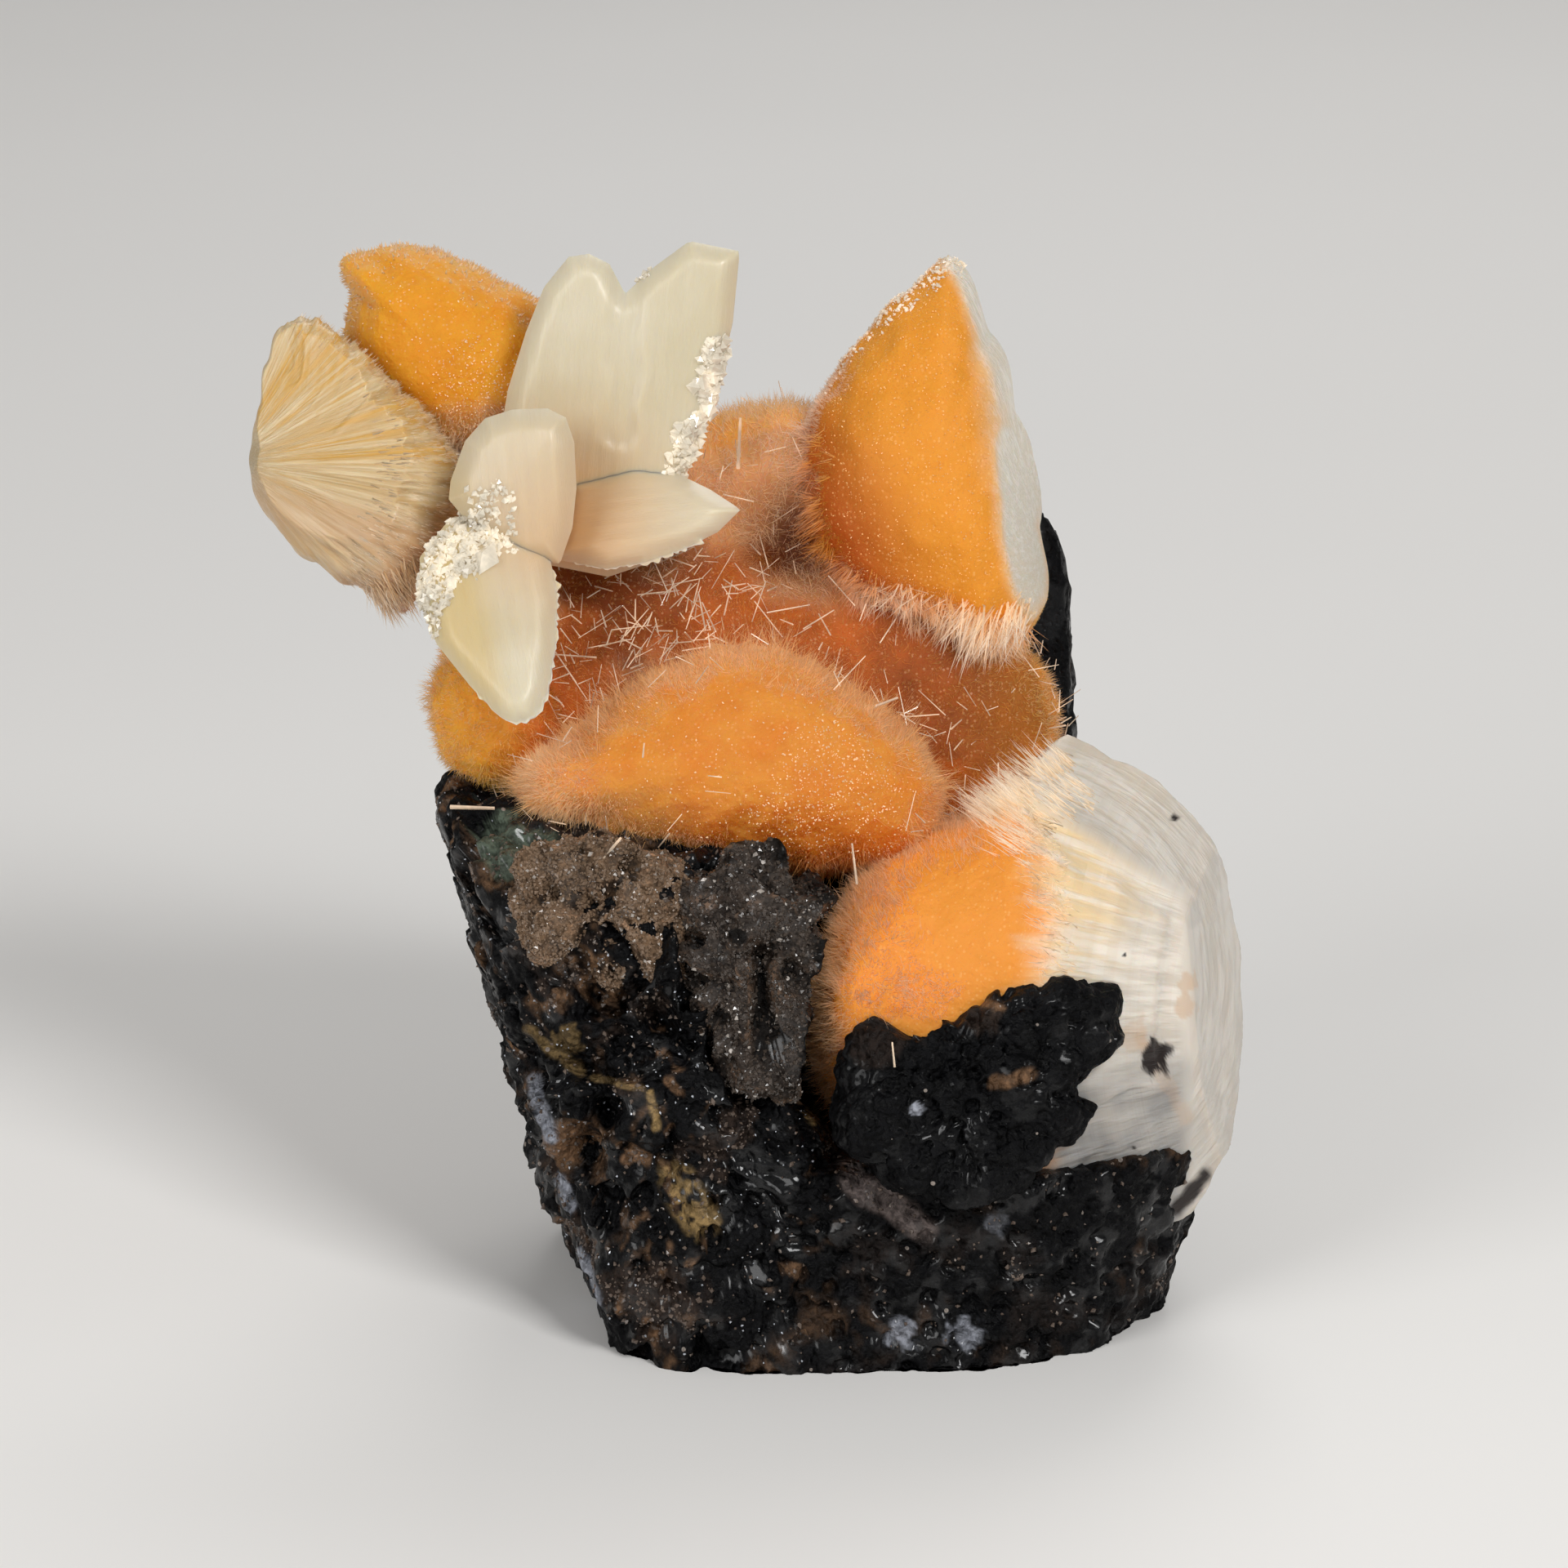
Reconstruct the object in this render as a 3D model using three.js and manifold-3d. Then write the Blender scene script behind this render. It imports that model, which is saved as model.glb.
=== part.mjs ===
// A thomsonite and calcite specimen: balls of orange, velvety thomsonite and a spray of cream
// calcite crystals, grown on the wall of a basalt cavity that stands on its broken base.
// Millimetres, +Z up, the show face towards -Y. The origin is on the flat base.
import * as THREE from "three";
import { ImprovedNoise } from "three/addons/math/ImprovedNoise.js";
import { mergeVertices } from "three/addons/utils/BufferGeometryUtils.js";
import Module from "manifold-3d";

const wasm = await Module();
wasm.setup();

// Driving dimensions of the whole specimen
const FACE_LEAN = THREE.MathUtils.degToRad(16); // the show face leans back from upright
const FACE_FRONT = -7.5; // where the show face meets the floor
const GAP = 0.3; // room left between two neighbouring pieces
const ROOM = 0.6; // the same for lumps, whose copies for cutting are coarser
const FLOOR_SLAB = 40; // size of the block that levels the base

// Directions of the show face: to the right, up along it, and out of it
const ACROSS = new THREE.Vector3(1, 0, 0);
const UP = new THREE.Vector3(0, Math.sin(FACE_LEAN), Math.cos(FACE_LEAN));
const OUT = new THREE.Vector3(0, -Math.cos(FACE_LEAN), Math.sin(FACE_LEAN));
const FACE_ORIGIN = new THREE.Vector3(0, FACE_FRONT, 0);

// A vector given on the show face as [across, up, out], in the part's own frame.
const faceVector = ([across, up, out]) =>
  new THREE.Vector3().addScaledVector(ACROSS, across).addScaledVector(UP, up).addScaledVector(OUT, out);

const onFace = (place) => faceVector(place).add(FACE_ORIGIN);
const faceDirection = (towards) => faceVector(towards).normalize();

// Smooth noise of about -1 to 1, with bumps of the given size.
const perlin = new ImprovedNoise();
const noise = (p, size, seed) => perlin.noise(p.x / size + seed, p.y / size + 7.3 * seed, p.z / size + 31.7);

// Reliefs, each the height of the surface at a point, in mm
const velvet = (p) => 0.25 * noise(p, 3.2, 2) + 0.12 * noise(p, 1.3, 5);
const lumpy = (p) => 0.55 * noise(p, 4.5, 3) + 0.35 * noise(p, 2.1, 8);
const pitted = (p) => {
  const ledges = 0.9 * noise(p, 6, 1) + 0.6 * noise(p, 2.9, 4);
  const pits = Math.max(0, noise(p, 2.4, 9) - 0.15);
  return ledges - 2.2 * pits;
};

// Ridges that spread over a broken ball from the point where its fibres start.
const fibres = (start, spokes, height) => (p) => {
  const arm = p.clone().sub(start);
  const turn = Math.atan2(arm.dot(UP), arm.dot(ACROSS));
  const spread = Math.min(1, arm.length() / 9);
  return height * spread * Math.sin(spokes * turn + 2.5 * Math.sin(3.1 * turn));
};

// A solid from a geometry.
function solidOf(geometry) {
  const bare = new THREE.BufferGeometry().setAttribute("position", geometry.getAttribute("position"));
  if (geometry.index) bare.setIndex(geometry.index);
  const merged = mergeVertices(bare, 1e-4);
  return new wasm.Manifold(
    new wasm.Mesh({
      numProp: 3,
      vertProperties: new Float32Array(merged.getAttribute("position").array),
      triVerts: new Uint32Array(merged.index.array),
    }),
  );
}

// A closed solid round a middle point, which each ray out of it leaves at the end of its arm.
function starSolid(middle, detail, armAlong) {
  const sphere = new THREE.IcosahedronGeometry(1, detail);
  const place = sphere.getAttribute("position");
  const ray = new THREE.Vector3();
  for (let i = 0; i < place.count; i++) {
    ray.fromBufferAttribute(place, i).normalize();
    place.setXYZ(i, ...armAlong(ray).add(middle).toArray());
  }
  return solidOf(sphere);
}

// The radius at an angle on a closed outline of [degrees, radius] pairs, eased between them.
function outlineRadius(outline, degrees) {
  const first = outline[0][0];
  const angle = THREE.MathUtils.euclideanModulo(degrees - first, 360) + first;
  const i = outline.findLastIndex(([turn]) => turn <= angle);
  const [a0, r0] = outline[i];
  const [a1, r1] = outline[(i + 1) % outline.length];
  const share = (angle - a0) / THREE.MathUtils.euclideanModulo(a1 - a0, 360);
  return THREE.MathUtils.lerp(r0, r1, 0.5 * THREE.MathUtils.smoothstep(share, 0, 1) + 0.5 * share);
}

// A grown lump: an outline round its centre, domed to the front and the back, with broken faces
// where planes cut it, and ribs on its front.
function lump({ centre, outline, front, back, square, facing, broken = [], relief, ribs, detail, grow = 0 }) {
  const middle = onFace(centre);
  const axis = faceDirection(facing ?? [0, 0, 1]);
  const side = new THREE.Vector3().crossVectors(UP, axis).normalize();
  const top = new THREE.Vector3().crossVectors(axis, side);
  const planes = broken.map(({ at, towards }) => {
    const normal = faceDirection(towards);
    return { normal, reach: onFace(at).sub(middle).dot(normal) + grow };
  });
  return starSolid(middle, detail, (ray) => {
    const radius = outlineRadius(outline, THREE.MathUtils.radToDeg(Math.atan2(ray.y, ray.x))) + grow;
    const height = (ray.z > 0 ? front : back) + grow;
    const fit = (Math.hypot(ray.x, ray.y) ** square + Math.abs(ray.z) ** square) ** (-1 / square);
    const arm = new THREE.Vector3()
      .addScaledVector(side, fit * ray.x * radius)
      .addScaledVector(top, fit * ray.y * radius)
      .addScaledVector(axis, fit * ray.z * height);
    arm.setLength(arm.length() + relief(arm.clone().add(middle)));
    for (const { normal, reach } of planes) {
      const past = arm.dot(normal);
      if (past > reach) arm.multiplyScalar(reach / past);
    }
    if (ribs && ray.z > 0) arm.addScaledVector(axis, ribs(arm.clone().add(middle)));
    return arm;
  });
}

// A rock: flat sides as [x, y, z, distance from the centre], with worn edges and a rough surface.
function rock({ centre, sides, wear, relief, detail }) {
  const middle = new THREE.Vector3(...centre);
  const faces = sides.map(([x, y, z, reach]) => ({ normal: new THREE.Vector3(x, y, z).normalize(), reach }));
  return starSolid(middle, detail, (ray) => {
    const pull = faces.map(({ normal, reach }) => Math.max(0, ray.dot(normal) / reach) ** wear);
    const arm = ray.clone().multiplyScalar(pull.reduce((a, b) => a + b) ** (-1 / wear));
    return arm.setLength(arm.length() + relief(arm.clone().add(middle)));
  });
}

// A calcite crystal: six sides that swell from a root and close to a tip, flatter than it is wide.
function crystal({ root, tip, width, thickness, blunt, roll = 0, belly = 0.42, grow }) {
  const from = onFace(root);
  const along = onFace(tip).sub(from);
  const length = along.length() + grow;
  const swell = (t) => 0.55 + 0.45 * Math.sin((t / belly) * (Math.PI / 2));
  const close = (t) => blunt + (1 - blunt) * Math.cos((((t - belly) / (1 - belly)) * Math.PI) / 2) ** 0.85;
  const steps = [0, 0.2, belly, 0.62, 0.82, 0.94];
  const profile = [
    new THREE.Vector2(0, -grow),
    ...steps.map((t) => new THREE.Vector2(t < belly ? swell(t) : close(t), t * length)),
    new THREE.Vector2(0, length),
  ];
  const geometry = new THREE.LatheGeometry(profile, 6);
  geometry.scale(width / 2 + grow, 1, thickness / 2 + grow);
  geometry.rotateY(roll);
  geometry.applyQuaternion(
    new THREE.Quaternion().setFromUnitVectors(new THREE.Vector3(0, 1, 0), along.clone().normalize()),
  );
  geometry.translate(...from.toArray());
  return solidOf(geometry);
}

// Small calcite crystals crowded over a patch, placed by a sunflower spiral.
function druse({ centre, reach, depth, count, size, grow }) {
  const [across, up, out] = centre;
  return Array.from({ length: count }, (_, i) => {
    const far = Math.sqrt((i + 0.5) / count);
    const turn = 2.4 * i;
    const grain = new THREE.OctahedronGeometry(size * (0.8 + 0.25 * Math.sin(5 * i)) + grow);
    grain.scale(0.8, 0.8, 1.5);
    grain.rotateX(0.6 * Math.sin(3 * i) + 1).rotateY(0.7 * Math.cos(7 * i));
    const middle = [
      across + far * reach[0] * Math.cos(turn),
      up + far * reach[1] * Math.sin(turn),
      out - far * depth,
    ];
    grain.translate(...onFace(middle).toArray());
    return solidOf(grain);
  });
}

const joined = (solids) => solids.reduce((whole, next) => whole.add(next));

// What is left of a solid beside its neighbours, as its one largest body.
function cleared(solid, neighbours) {
  const rest = neighbours.reduce((left, next) => left.subtract(next), solid);
  return rest.decompose().reduce((most, next) => (next.volume() > most.volume() ? next : most));
}

// Calcite: two tall blades, one to the right, one towards the viewer and one that hangs down
const blades = [
  { root: [-14.9, 37.4, -1.0], tip: [-13.5, 53.0, 1.6], width: 8.2, thickness: 4.6, blunt: 0.36, roll: 0.1 },
  { root: [-13.6, 36.8, 0.2], tip: [-7.5, 53.8, 1.4], width: 8.6, thickness: 4.8, blunt: 0.4, roll: -0.1 },
  { root: [-15.6, 38.8, 1.4], tip: [-6.0, 40.2, 4.6], width: 5.8, thickness: 5.0, blunt: 0.24 },
  { root: [-17.4, 38.6, 0.8], tip: [-16.6, 43.4, 7.4], width: 7.4, thickness: 7.0, blunt: 0.5 },
  { root: [-19.2, 41.4, 2.2], tip: [-16.6, 30.2, 7.2], width: 7.2, thickness: 4.6, blunt: 0.24, roll: 0.25 },
];
const druses = [
  { centre: [-19.4, 38.6, 4.2], reach: [2.0, 2.6], depth: 1.2, count: 13, size: 1.1 },
  { centre: [-8.6, 45.4, 0.4], reach: [1.3, 3.0], depth: 0.4, count: 13, size: 1.05 },
];

// The whole calcite cluster, made larger all round by the room that it needs.
function calcite(grow) {
  const crystals = blades.map((blade) => crystal({ ...blade, grow }));
  const grains = druses.flatMap((patch) => druse({ ...patch, grow }));
  return cleared(joined([...crystals, ...grains]), []);
}

// Thomsonite balls, whole and broken
const centreDome = {
  centre: [-5.2, 28.5, -1],
  outline: [
    [0, 10.4], [33, 9.4], [90, 6.4], [149, 8.6], [182, 11.4], [191, 12.2], [201, 9.9], [225, 7.4], [252, 6.3],
    [281, 6.1], [304, 7.2], [333, 9.8],
  ],
  front: 7.6, back: 6, square: 2.3, relief: velvet, detail: 4,
};
const lowerBall = {
  centre: [7.2, 17.7, -1.5],
  outline: [
    [0, 12.6], [20, 12.2], [62, 12.4], [77, 12.5], [90, 9.6], [110, 8.4], [142, 9.1], [167, 9.4], [203, 10.8],
    [227, 11.2], [272, 12.8], [308, 14.8], [320, 14.0], [340, 12.8],
  ],
  front: 9.2, back: 8, square: 2.2, relief: velvet, detail: 5,
  broken: [
    { at: [12.6, 17, 5.0], towards: [0.5, -0.05, 0.86] },
    { at: [15.8, 19.5, 3.4], towards: [0.93, 0.05, 0.36] },
    { at: [12.4, 23.4, 3.0], towards: [0.42, 0.62, 0.66] },
    { at: [13.6, 11.5, 3.6], towards: [0.42, -0.4, 0.81] },
  ],
};
const upperRight = {
  centre: [3.2, 42.5, -3.5],
  outline: [
    [10, 5.6], [36, 5.6], [67, 8.0], [80, 10.3], [85, 10.6], [97, 9.4], [114, 8.0], [140, 6.9], [165, 6.6],
    [187, 6.5], [218, 6.9], [243, 7.4], [267, 7.7], [281, 8.6], [291, 9.8], [303, 9.5], [313, 8.8],
    [336, 6.3],
  ],
  front: 7, back: 6, square: 2.1, relief: velvet, detail: 4,
  broken: [{ at: [6.1, 45, 2.2], towards: [0.93, 0.08, 0.34] }],
};
const upperLeft = {
  centre: [-20.8, 48.6, -6.5],
  outline: [
    [0, 6.8], [27, 5.7], [54, 5.0], [80, 5.2], [98, 5.7], [124, 6.7], [138, 7.5], [148, 5.9], [163, 5.5],
    [185, 5.0], [233, 4.4], [280, 5.2], [315, 6.6], [336, 7.9],
  ],
  front: 6, back: 3.6, square: 2.4, relief: velvet, detail: 4,
};
const leftFan = {
  centre: [-25.4, 42.4, -1.5],
  outline: [
    [9, 5.0], [55, 5.0], [86, 6.4], [102, 8.0], [115, 8.2], [126, 7.0], [141, 5.8], [164, 5.2], [200, 4.8],
    [223, 4.5], [250, 4.8], [274, 5.5], [293, 7.3], [315, 5.8], [347, 5.2],
  ],
  front: 4.2, back: 4.6, square: 2.6, relief: velvet, detail: 5,
  ribs: fibres(onFace([-30.2, 41.7, 0]), 22, 0.35),
  broken: [{ at: [-26, 42, 1.6], towards: [-0.16, 0.1, 0.98] }],
};

// The lining between the balls, with a dark hollow in it, and its knob at the left edge
const hollowPlace = onFace([-3.2, 40, -1]);
const hollowDepth = (p) => 3.6 * Math.exp(-p.distanceToSquared(hollowPlace) / 14);
const lining = {
  centre: [-6.4, 36.5, -8.5],
  outline: [
    [0, 13.5], [20, 11.0], [42, 11.6], [60, 11.2], [75, 10.4], [102, 9.4], [122, 11.8], [138, 15.0],
    [154, 14.6], [180, 14.6], [205, 16.6], [222, 16.6], [250, 12], [290, 11.5], [322, 20.0], [340, 17.6],
  ],
  front: 8, back: 3, square: 3.2, relief: (p) => velvet(p) - hollowDepth(p), detail: 4,
};
const leftKnob = {
  centre: [-18.4, 31.0, -3.6],
  outline: [[0, 3.6], [45, 3.2], [90, 3.6], [150, 3.4], [190, 3.2], [230, 3.6], [280, 4.2], [330, 5.0]],
  front: 5, back: 4, square: 2.3, relief: velvet, detail: 3,
};

// Basalt: a broken block on the left, a foot under the lower ball and a wall behind
const block = {
  centre: [-9.5, -1, 12],
  sides: [
    [-0.947, -0.18, -0.268, 7.0], [0.05, -0.99, 0.12, 9.6], [-0.62, -0.78, -0.05, 8.8], [0, -0.2, 0.98, 12.6],
    [1, 0, 0.1, 8.2], [0.1, 1, 0, 12.5], [0, 0, -1, 14], [-0.6, 0.8, 0, 11.8],
  ],
  wear: 20, relief: pitted, detail: 7,
};
const foot = {
  centre: [1.6, 0.2, 3.6],
  sides: [
    [0, -1, 0.06, 11.4], [0.5, -0.86, -0.1, 12.6], [0.87, -0.5, -0.25, 13.4], [1, 0.05, -0.2, 13.6],
    [0.8, 0.6, 0, 14.6], [0, 1, 0, 13.6], [-1, 0, 0, 13.6], [0, 0, 1, 6], [0, 0, -1, 6],
    [-0.7, -0.7, -0.1, 12.8],
  ],
  wear: 20, relief: pitted, detail: 5,
};
const wall = {
  centre: [-4, 11, 22],
  sides: [
    [0.03, 1, -0.07, 6.6], [0, -0.961, 0.276, 3.6], [1, 0, 0, 14.7], [0.97, 0, 0.25, 17.2], [-1, 0.1, 0, 15],
    [-0.95, 0.1, -0.27, 13.2], [0.165, 0, 1, 17], [-0.6, 0.7, 0.1, 16.5], [0.7, 0.7, 0.2, 14.6],
    [0, 0, -1, 24],
  ],
  wear: 20, relief: pitted, detail: 5,
};

// A flake of the same rock, grown on the lower ball
const basaltFlake = {
  centre: [4.9, 12.4, 6.4],
  outline: [
    [0, 5.8], [22, 7.8], [36, 8.8], [48, 7.8], [62, 6.4], [84, 4.4], [104, 3.2], [125, 4.6], [152, 6.2],
    [172, 6.2], [200, 6.8], [225, 5.6], [262, 5.2], [296, 5.2], [328, 4.8],
  ],
  front: 2.6, back: 2.4, square: 3.4, relief: lumpy, detail: 4, facing: [0.12, 0.05, 1],
};

// Crusts of tiny quartz crystals on the front of the block
const crustLeft = {
  centre: [-12.6, 21.0, 5.6],
  outline: [
    [0, 3.6], [30, 3.8], [60, 3.4], [95, 3.4], [130, 3.9], [165, 4.0], [200, 3.4], [245, 2.6], [290, 3.6],
    [325, 4.6],
  ],
  front: 1.7, back: 2.2, square: 3, relief: lumpy, detail: 3,
};
const crustRight = {
  centre: [-5.2, 18.8, 6.0],
  outline: [
    [0, 3.4], [40, 4.2], [75, 4.8], [105, 5.2], [135, 4.4], [170, 3.2], [215, 3.4], [250, 5.0], [275, 6.4],
    [300, 5.6], [330, 3.8],
  ],
  front: 1.8, back: 2.2, square: 3, relief: lumpy, detail: 3,
};

// Each piece gives way to the ones that stand before it
const roomOf = (shape) => lump({ ...shape, detail: Math.min(4, shape.detail), grow: ROOM });
const calciteRoom = calcite(GAP);
const liningRoom = joined([roomOf(lining), roomOf(leftKnob)]);
const domeRoom = roomOf(centreDome);
const lowerRoom = roomOf(lowerBall);
const leftRoom = roomOf(upperLeft);
const flakeRoom = roomOf(basaltFlake);
const crustLeftRoom = roomOf(crustLeft);
const crustRightRoom = roomOf(crustRight);
const ballRooms = [domeRoom, lowerRoom, leftRoom, roomOf(upperRight), roomOf(leftFan)];
const floor = new THREE.BoxGeometry(2 * FLOOR_SLAB, 2 * FLOOR_SLAB, FLOOR_SLAB);
floor.translate(0, 0, -FLOOR_SLAB / 2);
const matrixRooms = [
  solidOf(floor), calciteRoom, ...ballRooms, liningRoom, flakeRoom, crustLeftRoom, crustRightRoom,
];

const pieces = [
  ["calcite_cluster", calcite(0), "calcite"],
  ["basalt_flake", lump(basaltFlake), "basalt"],
  ["thomsonite_centre_dome", cleared(lump(centreDome), [calciteRoom]), "thomsonite"],
  ["thomsonite_lower_right_ball", cleared(lump(lowerBall), [domeRoom, flakeRoom]), "thomsonite_broken"],
  ["thomsonite_upper_right_ball", cleared(lump(upperRight), [domeRoom]), "thomsonite"],
  ["thomsonite_upper_left_ball", cleared(lump(upperLeft), [calciteRoom]), "thomsonite"],
  ["thomsonite_left_fan", cleared(lump(leftFan), [calciteRoom, leftRoom]), "thomsonite_broken"],
  [
    "thomsonite_lining",
    cleared(joined([lump(lining), lump(leftKnob)]), [calciteRoom, ...ballRooms]),
    "thomsonite_deep",
  ],
  ["quartz_crust_left", cleared(lump(crustLeft), [domeRoom, liningRoom]), "quartz_crust"],
  ["quartz_crust_right", cleared(lump(crustRight), [domeRoom, lowerRoom, crustLeftRoom]), "quartz_crust"],
  ["basalt_matrix", cleared(joined([rock(block), rock(foot), rock(wall)]), matrixRooms), "basalt"],
];

// Finishes
const finishes = {
  calcite: new THREE.MeshStandardMaterial({ color: 0xe6dcbe, roughness: 0.35, metalness: 0 }),
  thomsonite: new THREE.MeshStandardMaterial({ color: 0xf09a3c, roughness: 0.8, metalness: 0 }),
  thomsonite_deep: new THREE.MeshStandardMaterial({ color: 0xb9653a, roughness: 0.85, metalness: 0 }),
  thomsonite_broken: new THREE.MeshStandardMaterial({ color: 0xe9d3bd, roughness: 0.55, metalness: 0 }),
  quartz_crust: new THREE.MeshStandardMaterial({ color: 0x5d5048, roughness: 0.5, metalness: 0 }),
  basalt: new THREE.MeshStandardMaterial({ color: 0x1d1e20, roughness: 0.8, metalness: 0 }),
};

// A named mesh of a finished solid.
function meshOf(name, solid, finish) {
  const { vertProperties, triVerts } = solid.getMesh();
  const geometry = new THREE.BufferGeometry();
  geometry.setAttribute("position", new THREE.BufferAttribute(new Float32Array(vertProperties), 3));
  geometry.setIndex(new THREE.BufferAttribute(new Uint32Array(triVerts), 1));
  geometry.computeVertexNormals();
  const mesh = new THREE.Mesh(geometry, finishes[finish]);
  mesh.name = name;
  return mesh;
}

const specimen = new THREE.Group();
for (const [name, solid, finish] of pieces) specimen.add(meshOf(name, solid, finish));

export default specimen;
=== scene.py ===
"""The looks of a thomsonite and calcite specimen on basalt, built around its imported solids.

Shapes are worked out in millimetres, mostly on the show face: a plane that leans back from upright,
with places on it given as (across, up, out). Meshes are written in metres.
"""

import functools
import itertools
import logging
import math
from dataclasses import dataclass, field
from enum import Enum
from typing import Callable

import bpy
import numpy as np
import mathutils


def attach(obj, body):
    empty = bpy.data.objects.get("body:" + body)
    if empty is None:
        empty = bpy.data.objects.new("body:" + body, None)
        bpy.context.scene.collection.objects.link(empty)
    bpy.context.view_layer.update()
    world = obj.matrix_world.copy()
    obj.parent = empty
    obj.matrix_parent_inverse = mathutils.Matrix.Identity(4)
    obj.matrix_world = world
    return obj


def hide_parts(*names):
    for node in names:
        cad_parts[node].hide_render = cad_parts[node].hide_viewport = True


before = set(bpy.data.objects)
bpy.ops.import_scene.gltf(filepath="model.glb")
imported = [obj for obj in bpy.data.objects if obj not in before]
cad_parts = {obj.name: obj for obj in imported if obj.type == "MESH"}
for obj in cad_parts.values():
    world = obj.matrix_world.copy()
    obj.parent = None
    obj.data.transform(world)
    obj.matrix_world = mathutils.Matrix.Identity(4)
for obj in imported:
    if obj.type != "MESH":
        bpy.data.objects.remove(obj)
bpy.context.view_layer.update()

LOG = logging.getLogger("specimen")
MM = 0.001
BODY = "root"

# The show face: to the right, up along it and out of it
FACE_LEAN = math.radians(16.0)
FACE_FRONT = -7.5
ACROSS = np.array([1.0, 0.0, 0.0])
UP = np.array([0.0, math.sin(FACE_LEAN), math.cos(FACE_LEAN)])
OUT = np.array([0.0, -math.cos(FACE_LEAN), math.sin(FACE_LEAN)])
FACE = np.stack([ACROSS, UP, OUT])
FACE_ORIGIN = np.array([0.0, FACE_FRONT, 0.0])

# The twelve ways from a cube's middle to its edges, for gradient noise
EDGE_WAYS = np.array([w for w in itertools.product((-1, 0, 1), repeat=3) if sum(map(abs, w)) == 2], float)

# Rows of three coordinates, one value or vector for each row, and single places on the show face
Places = np.ndarray
Values = np.ndarray
Spot = tuple[float, float]
Place = tuple[float, float, float]
Colour = tuple[float, float, float, float]
Relief = Callable[[Places], Values]
Rng = np.random.Generator


class Slot(Enum):
    """The record's material slots."""

    CALCITE = "calcite"
    THOMSONITE = "thomsonite"
    DEEP = "thomsonite_deep"
    BROKEN = "thomsonite_broken"
    CRUST = "quartz_crust"
    BASALT = "basalt"


def colour(code: int) -> Colour:
    """Turns a screen colour such as 0xf09a3c into the linear colour that shaders take.

    Args:
        code: red, green and blue as one hexadecimal number.

    Returns:
        Linear red, green and blue, and an alpha of 1.
    """
    parts = [(code >> shift & 0xFF) / 255 for shift in (16, 8, 0)]
    linear = [p / 12.92 if p <= 0.04045 else ((p + 0.055) / 1.055) ** 2.4 for p in parts]
    return (*linear, 1.0)


def on_face(places: Places) -> Places:
    """Turns (across, up, out) places into the part's own frame, in mm."""
    return np.asarray(places, float) @ FACE + FACE_ORIGIN


def face_places(points: Places) -> Places:
    """Turns points of the part's own frame into (across, up, out) places."""
    return (points - FACE_ORIGIN) @ FACE.T


def unit(vectors: Places) -> Places:
    """Scales vectors to a length of 1."""
    vectors = np.asarray(vectors, float)
    return vectors / np.maximum(np.linalg.norm(vectors, axis=-1, keepdims=True), 1e-9)


def face_direction(towards: Places) -> Places:
    """Turns an (across, up, out) direction into a unit vector of the part's frame."""
    return unit(np.asarray(towards, float) @ FACE)


def ease(value: Values, low: float, high: float) -> Values:
    """Rises smoothly from 0 at low to 1 at high."""
    share = np.clip((value - low) / (high - low), 0.0, 1.0)
    return share * share * (3.0 - 2.0 * share)


def chance(cell: Values, seed: int) -> Values:
    """Random numbers that depend only on a whole-number cell: its three numbers are mixed by large factors.

    Args:
        cell: whole numbers, three to a row.
        seed: a different number for a different set.

    Returns:
        A number of 0 to 1 for each row.
    """
    key = cell.astype(np.int64).astype(np.uint64)
    factors = np.array([73856093, 19349663, 83492791], np.uint64)
    mixed = np.bitwise_xor.reduce(key * factors, axis=-1) ^ np.uint64(7919 * seed + 1)
    for shift, factor in ((15, 0x9E3779B97F4A7C15), (31, 0xBF58476D1CE4E5B9)):
        mixed = (mixed ^ (mixed >> np.uint64(shift))) * np.uint64(factor)
    return (mixed >> np.uint64(40)).astype(float) / 2**24


def noise(points: Places, size: float, seed: int = 0) -> Values:
    """Gradient noise: eased between the eight corners of each cell, of which each has a random slope.

    Args:
        points: places in mm.
        size: how large the bumps are, in mm.
        seed: a different number for a different field.

    Returns:
        A height of about -1 to 1 for each point.
    """
    place = points / size
    cell = np.floor(place)
    inside = place - cell
    blend = inside**3 * (inside * (inside * 6 - 15) + 10)
    total = np.zeros(len(points))
    for corner in itertools.product((0, 1), repeat=3):
        way = EDGE_WAYS[(chance(cell + corner, seed) * 12).astype(int)]
        weight = np.prod(np.where(corner, blend, 1 - blend), axis=1)
        total += weight * np.einsum("ij,ij->i", way, inside - corner)
    return total


def rough(points: Places, size: float, layers: int, seed: int = 0) -> Values:
    """Noise in layers, each half the size and half the height of the one before."""
    return sum(noise(points, size / 2**k, seed + k) / 2**k for k in range(layers))


def cells(points: Places, size: float, seed: int = 0) -> tuple[Values, Values, Values]:
    """Cell noise: one seat at random in each cell, and the distances to the two nearest seats.

    Args:
        points: places in mm.
        size: the mean distance between seats, in mm.
        seed: a different number for a different field.

    Returns:
        The distance to the nearest seat, that to the second, both in cells, and the nearest's own number.
    """
    place = points / size
    cell = np.floor(place)
    nearest = np.full(len(points), 9.0)
    second = nearest.copy()
    own = np.zeros(len(points))
    for step in itertools.product((-1, 0, 1), repeat=3):
        other = cell + step
        seat = other + np.stack([chance(other, seed + k) for k in (1, 2, 3)], axis=1)
        gap = np.linalg.norm(seat - place, axis=1)
        closer = gap < nearest
        second = np.where(closer, nearest, np.minimum(second, gap))
        own = np.where(closer, chance(other, seed + 4), own)
        nearest = np.where(closer, gap, nearest)
    return nearest, second, own


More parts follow.
